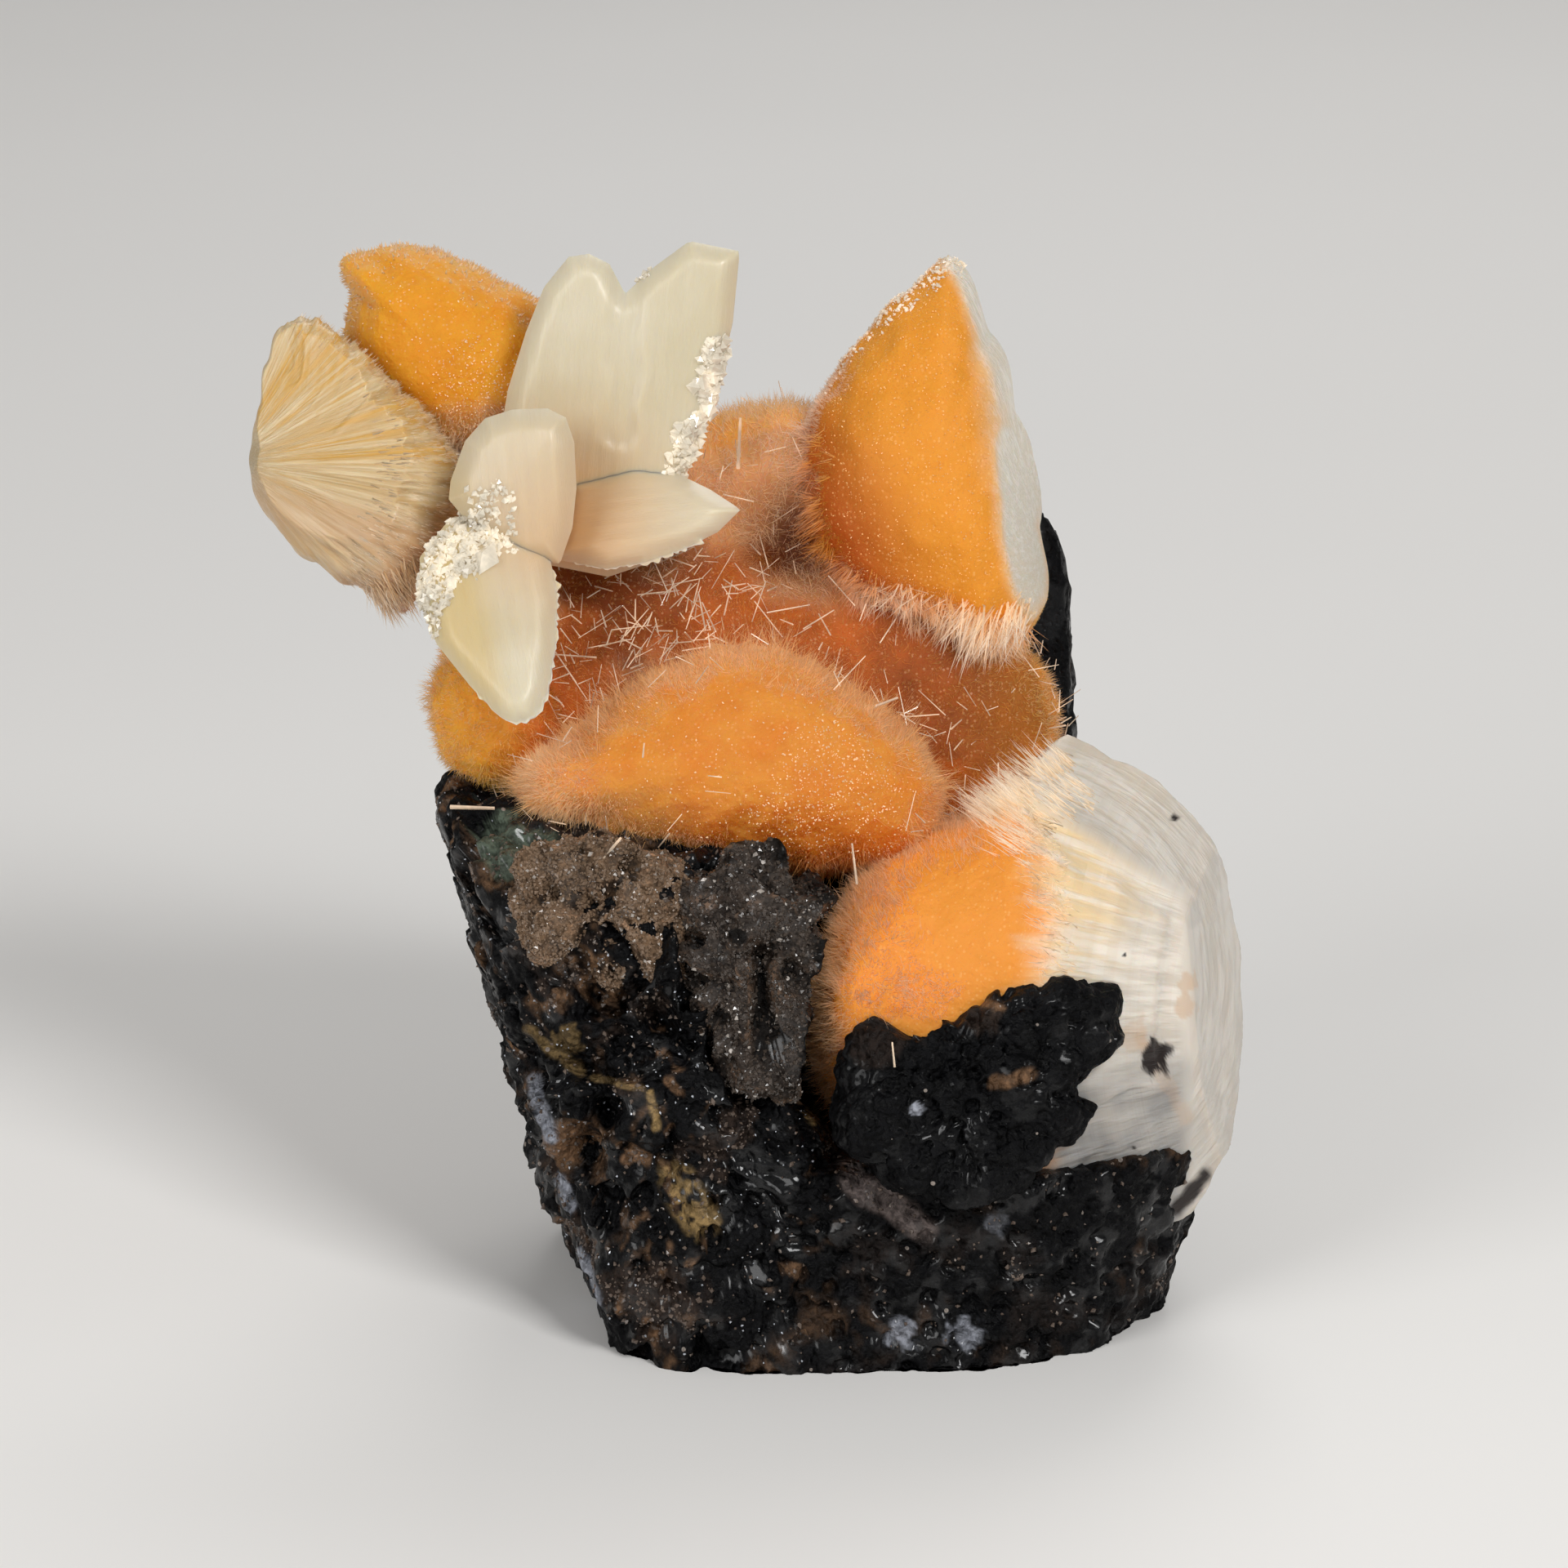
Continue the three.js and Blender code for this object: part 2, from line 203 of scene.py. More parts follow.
def knobs(points: Places, size: float, seed: int = 0) -> Values:
    """Rounded knobs with creases between them: each cell domes up from its edges to its seat.

    Args:
        points: places in mm.
        size: the mean distance between knobs, in mm.
        seed: a different number for a different set.

    Returns:
        A height in mm, at most 0.4 of the size.
    """
    moved = points + 0.2 * size * noise(points, size, seed + 90)[:, None]
    near, _, own = cells(moved, size, seed)
    return size * (0.4 - 0.55 * np.minimum(near, 1.0) ** 2) * (0.45 + 0.55 * own)


def hollows(points: Places, size: float, share: float, seed: int = 0) -> Values:
    """Cavities with steep edges, in a share of the cells: 0 outside them and 1 at their floor."""
    near, _, own = cells(points + 0.2 * size * noise(points, 0.6 * size, seed + 90)[:, None], size, seed)
    return (own < share) * ease(0.62 - near, 0.0, 0.3)


def blot(points: Places, at: Spot, radius: float, ragged: float = 0.35, seed: int = 0) -> Values:
    """A stain on the show face: 1 within a radius of its place, with a ragged edge.

    Args:
        points: points of the part's frame.
        at: the stain's (across, up).
        radius: its radius in mm.
        ragged: how far noise moves the edge, as a share of the radius.
        seed: a different number for a different edge.

    Returns:
        A mask of 0 to 1.
    """
    across, up, _ = face_places(points).T
    gap = np.hypot(across - at[0], up - at[1]) / radius
    gap = gap + ragged * rough(points, radius, 3, seed)
    return 1.0 - ease(gap, 0.75, 1.1)


def bell(points: Places, at: Spot, size: Spot) -> Values:
    """A soft mask round a place on the show face: e to the minus of both squared distances over its sizes.

    Args:
        points: points of the part's frame.
        at: the middle's (across, up).
        size: how far it reaches across and up, in mm.

    Returns:
        A mask of 0 to 1.
    """
    across, up, _ = face_places(points).T
    return np.exp(-(((across - at[0]) / size[0]) ** 2) - ((up - at[1]) / size[1]) ** 2)


def streak(points: Places, start: Spot, end: Spot, width: float) -> Values:
    """A mask along a line on the show face that falls off at half its width.

    Args:
        points: points of the part's frame.
        start: the line's (across, up) at one end.
        end: that at the other end.
        width: its width in mm.

    Returns:
        A mask of 0 to 1.
    """
    place = face_places(points)[:, :2]
    first = np.array(start)
    along = np.array(end) - first
    share = np.clip((place - first) @ along / (along @ along), 0.0, 1.0)
    gap = np.linalg.norm(place - first - share[:, None] * along, axis=1)
    return 1.0 - ease(gap + 0.25 * width * noise(points, width, 3), 0.25 * width, 0.6 * width)


def most(*masks: Values) -> Values:
    """The strongest of some masks at each point."""
    return np.maximum.reduce(masks)


@functools.lru_cache(maxsize=None)
def ball_grid(count: int) -> tuple[Places, Values]:
    """A ball of unit rays: a cube's six faces, each a grid of two angles from -45 to 45 degrees, welded.

    Args:
        count: squares along a face's edge.

    Returns:
        The rays, and the squares as four ray numbers each, turning outwards.
    """
    turn = np.tan(np.linspace(-1, 1, count + 1) * math.pi / 4)
    u, v = np.meshgrid(turn, turn, indexing="ij")
    number = np.arange((count + 1) ** 2).reshape(count + 1, count + 1)
    square = np.stack([number[:-1, :-1], number[1:, :-1], number[1:, 1:], number[:-1, 1:]], axis=-1)
    square = square.reshape(-1, 4)
    rays, squares = [], []
    for axis in range(3):
        for side in (-1.0, 1.0):
            sheet = np.stack([u, v, np.full_like(u, side)], axis=-1).reshape(-1, 3)
            rays.append(np.roll(sheet, axis, axis=1))
            squares.append((square if side > 0 else square[:, ::-1]) + (len(rays) - 1) * number.size)
    every = unit(np.concatenate(rays))
    _, first, back = np.unique(np.round(every, 6), axis=0, return_index=True, return_inverse=True)
    return every[first], back.reshape(-1)[np.concatenate(squares)]


@dataclass
class Surface:
    """A mesh as arrays: points in mm, faces as rows of point numbers, and named marks, one per point."""

    points: Places
    faces: Values
    marks: dict[str, Values] = field(default_factory=dict)

    def triangles(self) -> Values:
        """The faces as triangles.

        Returns:
            Rows of three point numbers.
        """
        if self.faces.shape[1] == 3:
            return self.faces
        return np.concatenate([self.faces[:, [0, 1, 2]], self.faces[:, [0, 2, 3]]])

    def normals(self) -> Places:
        """The mean direction of the faces round each point.

        Returns:
            A unit vector for each point.
        """
        tri = self.triangles()
        a, b, c = (self.points[tri[:, k]] for k in range(3))
        out = np.cross(b - a, c - a)
        total = np.zeros_like(self.points)
        for axis in range(3):
            for k in range(3):
                total[:, axis] += np.bincount(tri[:, k], out[:, axis], len(total))
        return unit(total)

    def build(self, name: str, smooth: bool = True) -> bpy.types.Object:
        """Writes the arrays into a mesh object at the origin.

        Args:
            name: the object's name.
            smooth: whether the faces are shaded as one round surface.

        Returns:
            The object, linked into the scene.
        """
        mesh = bpy.data.meshes.new(name)
        mesh.vertices.add(len(self.points))
        mesh.vertices.foreach_set("co", (self.points * MM).astype(np.float32).ravel())
        mesh.loops.add(self.faces.size)
        mesh.loops.foreach_set("vertex_index", self.faces.astype(np.int32).ravel())
        mesh.polygons.add(len(self.faces))
        starts = np.arange(0, self.faces.size, self.faces.shape[1], dtype=np.int32)
        mesh.polygons.foreach_set("loop_start", starts)
        mesh.update(calc_edges=True)
        if not smooth:
            mesh.shade_flat()
        for label, values in self.marks.items():
            wide = values.ndim == 2
            mark = mesh.attributes.new(label, "FLOAT_VECTOR" if wide else "FLOAT", "POINT")
            mark.data.foreach_set("vector" if wide else "value", values.astype(np.float32).ravel())
        piece = bpy.data.objects.new(name, mesh)
        bpy.context.collection.objects.link(piece)
        return piece


def merged(parts: list[Surface]) -> Surface:
    """Joins surfaces that have the same kind of faces and the same marks.

    Args:
        parts: the surfaces.

    Returns:
        One surface.
    """
    starts = np.cumsum([0] + [len(p.points) for p in parts[:-1]])
    return Surface(
        np.concatenate([p.points for p in parts]),
        np.concatenate([p.faces + start for p, start in zip(parts, starts)]),
        {label: np.concatenate([p.marks[label] for p in parts]) for label in parts[0].marks},
    )


@dataclass(frozen=True)
class Break:
    """A plane that a ball is broken off at: a place on it and the way that it faces, on the show face."""

    at: Place
    towards: Place


@dataclass(frozen=True)
class Lump:
    """A grown lump: an outline of (degrees, radius) round its centre, domed to the front and the back."""

    centre: Place
    outline: tuple[Spot, ...]
    front: float
    back: float
    square: float
    breaks: tuple[Break, ...] = ()
    facing: Place = (0.0, 0.0, 1.0)

    @property
    def middle(self) -> Places:
        """The centre in the part's frame."""
        return on_face(self.centre)

    @property
    def axes(self) -> Places:
        """The lump's own directions: to the side, to the top and to the front.

        Returns:
            Three unit vectors of the part's frame.
        """
        axis = face_direction(self.facing)
        side = unit(np.cross(UP, axis))
        return np.stack([side, np.cross(axis, side), axis])

    def radius(self, degrees: Values) -> Values:
        """The outline's radius at an angle, half eased and half straight between its points.

        Args:
            degrees: the angles.

        Returns:
            The radius at each, in mm.
        """
        turn = np.array([a for a, _ in self.outline])
        reach = np.array([r for _, r in self.outline])
        turn = np.append(turn, turn[0] + 360)
        reach = np.append(reach, reach[0])
        angle = (degrees - turn[0]) % 360 + turn[0]
        i = np.clip(np.searchsorted(turn, angle, side="right") - 1, 0, len(turn) - 2)
        share = (angle - turn[i]) / (turn[i + 1] - turn[i])
        share = 0.5 * share + 0.5 * share * share * (3 - 2 * share)
        return reach[i] + (reach[i + 1] - reach[i]) * share

    def arms(self, rays: Places) -> Places:
        """Where rays from the centre leave the unbroken lump.

        Each ray is stretched to the outline's radius sideways and to the front or back height, and then
        put on a superellipse: sideways and forward shares, each to the power of square, add up to 1.

        Args:
            rays: unit vectors in the lump's own directions.

        Returns:
            Vectors from the middle in the part's frame, in mm.
        """
        flat = np.hypot(rays[:, 0], rays[:, 1])
        radius = self.radius(np.degrees(np.arctan2(rays[:, 1], rays[:, 0])))
        height = np.where(rays[:, 2] > 0, self.front, self.back)
        fit = (flat**self.square + np.abs(rays[:, 2]) ** self.square) ** (-1 / self.square)
        own = np.stack([radius * rays[:, 0], radius * rays[:, 1], height * rays[:, 2]], axis=1)
        return (fit[:, None] * own) @ self.axes

    def broken(self, arms: Places, wave: Values | float = 0.0) -> tuple[Places, Values]:
        """Draws arms that pass a break back to its plane.

        Args:
            arms: vectors from the middle.
            wave: how much each plane stands proud at each arm, in mm.

        Returns:
            The arms, and how far each one passed the planes, in mm.
        """
        over = np.full(len(arms), -9.0)
        for plane in self.breaks:
            normal = face_direction(plane.towards)
            reach = (on_face(plane.at) - self.middle) @ normal + wave
            past = arms @ normal
            arms = np.where((past > reach)[:, None], arms * (reach / np.maximum(past, 1e-6))[:, None], arms)
            over = np.maximum(over, past - reach)
        return arms, over

    def depth(self, points: Places) -> Values:
        """How far points are inside the unbroken lump, along their own ray, in mm.

        Args:
            points: points of the part's frame.

        Returns:
            A depth for each, below 0 outside the lump.
        """
        arm = points - self.middle
        own = arm @ self.axes.T
        height = np.where(own[:, 2] > 0, self.front, self.back)
        radius = self.radius(np.degrees(np.arctan2(own[:, 1], own[:, 0])))
        side = (np.hypot(own[:, 0], own[:, 1]) / radius) ** self.square
        share = (side + (np.abs(own[:, 2]) / height) ** self.square) ** (1 / self.square)
        length = np.linalg.norm(arm, axis=1)
        return length * (1 / np.maximum(share, 1e-3) - 1)

    def surface(self, count: int, relief: Relief, wave: Relief | None = None) -> Surface:
        """The lump on a ball grid, with its relief along each ray.

        Args:
            count: squares along the grid's edge.
            relief: the height at each point, in mm.
            wave: how much the broken planes stand proud at each point, in mm.

        Returns:
            The surface, crowded to the front. Its mark "over", if it has breaks, is how far it passed them.
        """
        rays, squares = ball_grid(count)
        arms = self.arms(unit(rays + (0.0, 0.0, 0.3)))
        rise = relief(arms + self.middle)
        arms = arms * (1 + rise / np.linalg.norm(arms, axis=1))[:, None]
        arms, over = self.broken(arms, wave(arms + self.middle) if wave else 0.0)
        return Surface(arms + self.middle, squares, {"over": over} if self.breaks else {})


@dataclass(frozen=True)
class Rock:
    """A broken stone: flat sides as (x, y, z, distance) round a centre, with edges worn to a power."""

    centre: Place
    sides: tuple[tuple[float, float, float, float], ...]
    wear: float = 20.0

    def surface(self, count: int, relief: Relief, lean: Places) -> Surface:
        """The stone on a ball grid: 1 over its radius is the sides' pulls, each to the power of wear, summed.

        Args:
            count: squares along the grid's edge.
            relief: the height at each point, in mm.
            lean: a vector added to every ray, which crowds the grid that way.

        Returns:
            The surface, cut flat at the floor.
        """
        rays, squares = ball_grid(count)
        rays = unit(rays + lean)
        sides = np.array(self.sides)
        pull = np.maximum(rays @ unit(sides[:, :3]).T / sides[:, 3], 0) ** self.wear
        arms = rays / (pull.sum(axis=1) ** (1 / self.wear))[:, None]
        points = arms + self.centre
        points += rays * relief(points)[:, None]
        points[:, 2] = np.maximum(points[:, 2], 0.0)
        return Surface(points, squares)


@dataclass
class Seats:
    """Places picked on a surface: the points, their normals, and the surface's marks there."""

    points: Places
    normals: Places
    marks: dict[str, Values]


def seats_on(surface: Surface, weight: Values, count: int, rng: Rng) -> Seats:
    """Picks places at random on a surface, by area and by weight.

    Args:
        surface: the surface.
        weight: how likely each point's surroundings are, from 0.
        count: how many places.
        rng: the source of random numbers.

    Returns:
        The places.
    """
    tri = surface.triangles()
    a, b, c = (surface.points[tri[:, k]] for k in range(3))
    area = np.linalg.norm(np.cross(b - a, c - a), axis=1) * weight[tri].mean(axis=1)
    total = np.cumsum(area)
    pick = np.searchsorted(total, rng.random(count) * total[-1])
    one, two = rng.random((2, count))
    fold = one + two > 1
    one, two = np.where(fold, 1 - one, one), np.where(fold, 1 - two, two)
    share = np.stack([1 - one - two, one, two], axis=1)
    chosen = tri[pick]

    def mean(values: Values) -> Values:
        """The values at the places, between those of the triangle's corners."""
        corner = values[chosen]
        return np.einsum("ij,ij...->i...", share, corner)

    marks = {label: mean(values) for label, values in surface.marks.items()}
    return Seats(mean(surface.points), unit(mean(surface.normals())), marks)


def frames_along(ways: Places, rng: Rng) -> tuple[Places, Places]:
    """Two directions square to each way, turned at random round it.

    Args:
        ways: unit vectors.
        rng: the source of random turns.

    Returns:
        Two unit vectors for each way.
    """
    helper = unit(rng.normal(size=ways.shape))
    side = unit(np.cross(ways, helper))
    return side, np.cross(ways, side)


def needles(feet: Places, ways: Places, lengths: Values, widths: Values, rng: Rng) -> Surface:
    """Three-sided needles that narrow to a point: one closed tetrahedron each.

    Args:
        feet: the middle of each foot.
        ways: the unit vector along each needle.
        lengths: their lengths in mm.
        widths: the width of each foot in mm.
        rng: the source of random turns.

    Returns:
        The needles, with the mark "tip": 0 at the foot and 1 at the point.
    """
    side, other = frames_along(ways, rng)
    turns = np.arange(3) * 2 * math.pi / 3
    ring = [math.cos(t) * side + math.sin(t) * other for t in turns]
    corners = [feet + 0.5 * widths[:, None] * r for r in ring] + [feet + lengths[:, None] * ways]
    points = np.stack(corners, axis=1).reshape(-1, 3)
    shape = np.array([[0, 1, 3], [1, 2, 3], [2, 0, 3], [0, 2, 1]])
    faces = (4 * np.arange(len(feet))[:, None, None] + shape).reshape(-1, 3)
    return Surface(points, faces, {"tip": np.tile([0.0, 0.0, 0.0, 1.0], len(feet))})


def rods(middles: Places, ways: Places, lengths: Values, widths: Values, rng: Rng) -> Surface:
    """Loose four-sided rods with flat ends: a stretched box each, narrower at its far end.

    Args:
        middles: the middle of each rod.
        ways: the unit vector along each rod.
        lengths: their lengths in mm.
        widths: their widths in mm.
        rng: the source of random turns.

    Returns:
        The rods.
    """
    side, other = frames_along(ways, rng)
    corners = []
    for end in (-0.5, 0.5):
        for one, two in ((-1, -1), (1, -1), (1, 1), (-1, 1)):
            reach = 0.5 * (0.85 - 0.3 * end) * widths[:, None]
            corners.append(middles + end * lengths[:, None] * ways + reach * (one * side + two * other))
    points = np.stack(corners, axis=1).reshape(-1, 3)
    box = [[0, 1, 5, 4], [1, 2, 6, 5], [2, 3, 7, 6], [3, 0, 4, 7], [0, 3, 2, 1], [4, 5, 6, 7]]
    faces = (8 * np.arange(len(middles))[:, None, None] + np.array(box)).reshape(-1, 4)
    return Surface(points, faces)


def crystals(middles: Places, sizes: Values, rng: Rng, stretch: float = 1.5) -> Surface:
    """Small eight-sided crystals, each turned at random: a bipyramid of six corners, stretched one way.

    Args:
        middles: the middle of each crystal.
        sizes: half the width of each, in mm.
        rng: the source of random turns.
        stretch: how much longer than wide they are.

    Returns:
        The crystals.
    """
    ring = [[1, 0, 0], [0, 1, 0], [-1, 0, 0], [0, -1, 0]]
    corner = np.array([*ring, [0, 0, stretch], [0, 0, -stretch]], float)
    ways = unit(rng.normal(size=middles.shape))
    side, other = frames_along(ways, rng)
    axes = np.stack([side, other, ways], axis=1)
    points = middles[:, None, :] + sizes[:, None, None] * np.einsum("cj,njk->nck", corner, axes)
    shape = [[0, 1, 4], [1, 2, 4], [2, 3, 4], [3, 0, 4], [1, 0, 5], [2, 1, 5], [3, 2, 5], [0, 3, 5]]
    faces = (6 * np.arange(len(middles))[:, None, None] + np.array(shape)).reshape(-1, 3)
    return Surface(points.reshape(-1, 3), faces)


def paint(value: object) -> object:
    """Turns a colour's code into the colour, and leaves a socket as it is."""
    return colour(value) if isinstance(value, int) else value


class Wiring:
    """Adds nodes to a node tree and links them by the names of their sockets."""

    def __init__(self, tree: bpy.types.NodeTree) -> None:
        """Keeps the tree."""
        self.tree = tree

    def feed(self, socket: bpy.types.NodeSocket, value: object) -> None:
        """Links a socket to another, or sets its own value.

        Args:
            socket: the socket that is fed.
            value: another socket, or a number, vector or colour.
        """
        if isinstance(value, bpy.types.NodeSocket):
            self.tree.links.new(value, socket)
        else:
            socket.default_value = value

    def node(self, kind: str, inputs: dict | None = None, **settings: object) -> bpy.types.Node:
        """Adds one node.

        Args:
            kind: the node's type without its ShaderNode prefix.
            inputs: socket names or numbers, each with a value or another socket.
            settings: properties of the node itself.

        Returns:
            The node.
        """
        made = self.tree.nodes.new("ShaderNode" + kind)
        for label, value in settings.items():
            setattr(made, label, value)
        for label, value in (inputs or {}).items():
            self.feed(made.inputs[label], value)
        return made

    def mix(self, share: object, first: object, second: object) -> bpy.types.NodeSocket:
        """Mixes two colours, each a code or a socket, by a share."""
        return self.node("Mix", {0: share, 6: paint(first), 7: paint(second)}, data_type="RGBA").outputs[2]

    def math(self, operation: str, *values: object) -> bpy.types.NodeSocket:
        """Works out one sum."""
        return self.node("Math", dict(enumerate(values)), operation=operation).outputs[0]

    def times(self, first: object, second: object) -> bpy.types.NodeSocket:
        """Multiplies two values."""
        return self.math("MULTIPLY", first, second)

    def vectors(self, operation: str, **inputs: object) -> bpy.types.NodeSocket:
        """Works out one sum of vectors; the inputs are named a, b and Scale."""
        sockets = {{"a": 0, "b": 1}.get(label, label): value for label, value in inputs.items()}
        return self.node("VectorMath", sockets, operation=operation).outputs[0]

    def noise(self, vector: object, scale: object, detail: float) -> bpy.types.NodeSocket:
        """Layered noise on a vector."""
        return self.node("TexNoise", {"Vector": vector, "Scale": scale, "Detail": detail}).outputs[0]

    def ramp(
        self, value: object, low: object, high: object, bottom: float = 0.0, top: float = 1.0
    ) -> bpy.types.NodeSocket:
        """Eases a value from bottom at low to top at high."""
        inputs = {"Value": value, "From Min": low, "From Max": high, "To Min": bottom, "To Max": top}
        return self.node("MapRange", inputs, interpolation_type="SMOOTHSTEP").outputs[0]

    def mark(self, label: str, kind: str = "Fac") -> bpy.types.NodeSocket:
        """Reads one of the piece's own marks, as a number or as a Vector."""
        return self.node("Attribute", attribute_name=label).outputs[kind]

    def brightness(self, tone: object, value: object) -> bpy.types.NodeSocket:
        """Makes a colour, a code or a socket, lighter or darker."""
        return self.node("HueSaturation", {"Value": value, "Color": paint(tone)}).outputs[0]


class Group(Wiring):
    """A shader node group under way: it takes a vector and some numbers, and puts out one mask or normal."""

    def __init__(self, name: str, output: str, kind: str, **numbers: float) -> None:
        """Starts the group.

        Args:
            name: the group's name.
            output: its output's name.
            kind: the output's kind of socket.
            numbers: each further input's name, with its first value.
        """
        super().__init__(bpy.data.node_groups.new(name, "ShaderNodeTree"))
        sockets = self.tree.interface
        sockets.new_socket("Vector", in_out="INPUT", socket_type="NodeSocketVector")
        for label, value in numbers.items():
            socket = sockets.new_socket(label, in_out="INPUT", socket_type="NodeSocketFloat")
            socket.default_value = value
        sockets.new_socket(output, in_out="OUTPUT", socket_type=kind)
        self.given = self.tree.nodes.new("NodeGroupInput").outputs
        self.result = self.tree.nodes.new("NodeGroupOutput").inputs[0]

    def cell(self) -> bpy.types.Node:
        """A cell pattern on the given vector at the given scale."""
        return self.node("TexVoronoi", {"Vector": self.given["Vector"], "Scale": self.given["Scale"]})

    def done(self, value: object) -> bpy.types.NodeTree:
        """Puts out a value and gives the group."""
        self.feed(self.result, value)
        return self.tree


class Effects:
    """The shader node groups that more than one finish uses, and the materials made so far."""

    def __init__(self) -> None:
        """Builds each group once."""
        self.mottle = self.make_mottle()
        self.specks = self.make_specks()
        self.glints = self.make_glints()
        self.strands = self.make_strands()
        self.made: dict[Look, bpy.types.Material] = {}

    def material(self, look: "Look") -> bpy.types.Material:
        """A finish's material, made when the first piece wears it.

        Args:
            look: the finish.

        Returns:
            The material.
        """
        if look not in self.made:
            self.made[look] = look.make(self)
        return self.made[look]

    @staticmethod
    def make_mottle() -> bpy.types.NodeTree:
        """Soft patches: layered noise, cut between two levels.

        Returns:
            The node group.
        """
        group = Group("mottle", "Mask", "NodeSocketFloat", Scale=5.0, Low=0.4, High=0.6)
        cloud = group.noise(group.given["Vector"], group.given["Scale"], 4.0)
        return group.done(group.ramp(cloud, group.given["Low"], group.given["High"]))

    @staticmethod
    def make_specks() -> bpy.types.NodeTree:
        """Small round specks: the middles of some of the cells of a cell pattern.

        Returns:
            The node group.
        """
        group = Group("specks", "Mask", "NodeSocketFloat", Scale=100.0, Size=0.3, Share=0.3)
        cell = group.cell()
        near = group.math("LESS_THAN", cell.outputs["Distance"], group.given["Size"])
        number = group.node("SeparateColor", {0: cell.outputs["Color"]}).outputs[0]
        return group.done(group.times(near, group.math("LESS_THAN", number, group.given["Share"])))

    @staticmethod
    def make_glints() -> bpy.types.NodeTree:
        """Tiny facets: each cell of a cell pattern tips the surface its own way.

        Returns:
            The node group.
        """
        group = Group("glints", "Normal", "NodeSocketVector", Scale=100.0, Tilt=0.5)
        centred = group.vectors("SUBTRACT", a=group.cell().outputs["Color"], b=(0.5, 0.5, 0.5))
        tipped = group.vectors("SCALE", a=centred, Scale=group.given["Tilt"])
        surface = group.node("NewGeometry").outputs["Normal"]
        return group.done(group.vectors("NORMALIZE", a=group.vectors("ADD", a=surface, b=tipped)))

    @staticmethod
    def make_strands() -> bpy.types.NodeTree:
        """Fine fibres: noise of two sizes on coordinates that hardly change along a fibre.

        Returns:
            The node group.
        """
        group = Group("strands", "Mask", "NodeSocketFloat", Scale=3.0)
        vector, scale = group.given["Vector"], group.given["Scale"]
        wide = group.noise(vector, scale, 2.0)
        fine = group.noise(vector, group.times(scale, 3.7), 3.0)
        return group.done(group.ramp(group.math("ADD", wide, fine), 0.75, 1.25))


class Finish(Wiring):
    """A material with one Principled shader, and the helpers that every finish uses."""

    def __init__(self, name: str, effects: Effects, **constants: object) -> None:
        """Starts the material.

        Args:
            name: the material's name.
            effects: the shared node groups.
            constants: the shader's own socket values, with spaces written as underscores.
        """
        self.material = bpy.data.materials.new(name)
        self.material.use_nodes = True
        super().__init__(self.material.node_tree)
        self.effects = effects
        self.shader = self.tree.nodes["Principled BSDF"].inputs
        for label, value in constants.items():
            self.feed(self.shader[label.replace("_", " ")], value)
        self.here = self.node("TexCoord").outputs["Object"]

    def group(self, tree: bpy.types.NodeTree, **inputs: object) -> bpy.types.NodeSocket:
        """Places a shared effect, which reads Object coordinates unless told otherwise.

        Args:
            tree: the effect's node group.
            inputs: its inputs by name.

        Returns:
            Its output.
        """
        made = self.tree.nodes.new("ShaderNodeGroup")
        made.node_tree = tree
        for label, value in {"Vector": self.here, **inputs}.items():
            self.feed(made.inputs[label], value)
        return made.outputs[0]

    def mottle(self, scale: float, low: float, high: float) -> bpy.types.NodeSocket:
        """Soft patches; scale is in patches per metre."""
        return self.group(self.effects.mottle, Scale=scale, Low=low, High=high)

    def specks(self, scale: float, size: float, share: float) -> bpy.types.NodeSocket:
        """Small specks; scale is in cells per metre."""
        return self.group(self.effects.specks, Scale=scale, Size=size, Share=share)

    def grain(self) -> bpy.types.NodeSocket:
        """The specks of a velvety ball: the points of its finest needles."""
        return self.specks(5200.0, 0.34, 0.3)

    def cloud(self) -> bpy.types.NodeSocket:
        """The finest relief of a velvety ball."""
        return self.noise(self.here, 4200.0, 3.0)

    def over(self, below: object, code: int, label: str, strength: float = 1.0) -> bpy.types.NodeSocket:
        """Lays a colour over another where one of the piece's marks says.

        Args:
            below: the colour so far.
            code: the colour that is laid over it.
            label: the mark.
            strength: the share of the colour where the mark is 1.

        Returns:
            The colour.
        """
        share = self.mark(label)
        return self.mix(share if strength == 1.0 else self.times(share, strength), below, code)

    def colour(self, socket: object) -> None:
        """Feeds the base colour."""
        self.feed(self.shader["Base Color"], socket)

    def roughness(self, mask: object, low: float, high: float) -> None:
        """Feeds the roughness between two values by a mask."""
        span = {"Value": mask, "To Min": low, "To Max": high}
        self.feed(self.shader["Roughness"], self.node("MapRange", span).outputs[0])

    def let_light_by(self, share: float) -> None:
        """Weakens the piece's shadows by a share, as thin clear crystals do."""
        shadow = self.node("LightPath").outputs["Is Shadow Ray"]
        self.feed(self.shader["Alpha"], self.math("MULTIPLY_ADD", shadow, -share, 1.0))

    def bump(self, height: object, depth: float, **under: object) -> None:
        """Feeds the normal.

        Args:
            height: the height, of 0 to 1.
            depth: what a height of 1 stands for, in metres.
            under: Normal, the normal below it, where there is one.
        """
        inputs = {"Height": height, "Strength": 1.0, "Distance": depth, **under}
        self.feed(self.shader["Normal"], self.node("Bump", inputs).outputs[0])


@dataclass(frozen=True)
class Look:
    """A named finish. Colours are screen codes such as 0xF09A3C."""

    name: str

    def make(self, effects: Effects) -> bpy.types.Material:
        """Builds the material with the shared effects; each kind of finish has its own way."""
        raise NotImplementedError


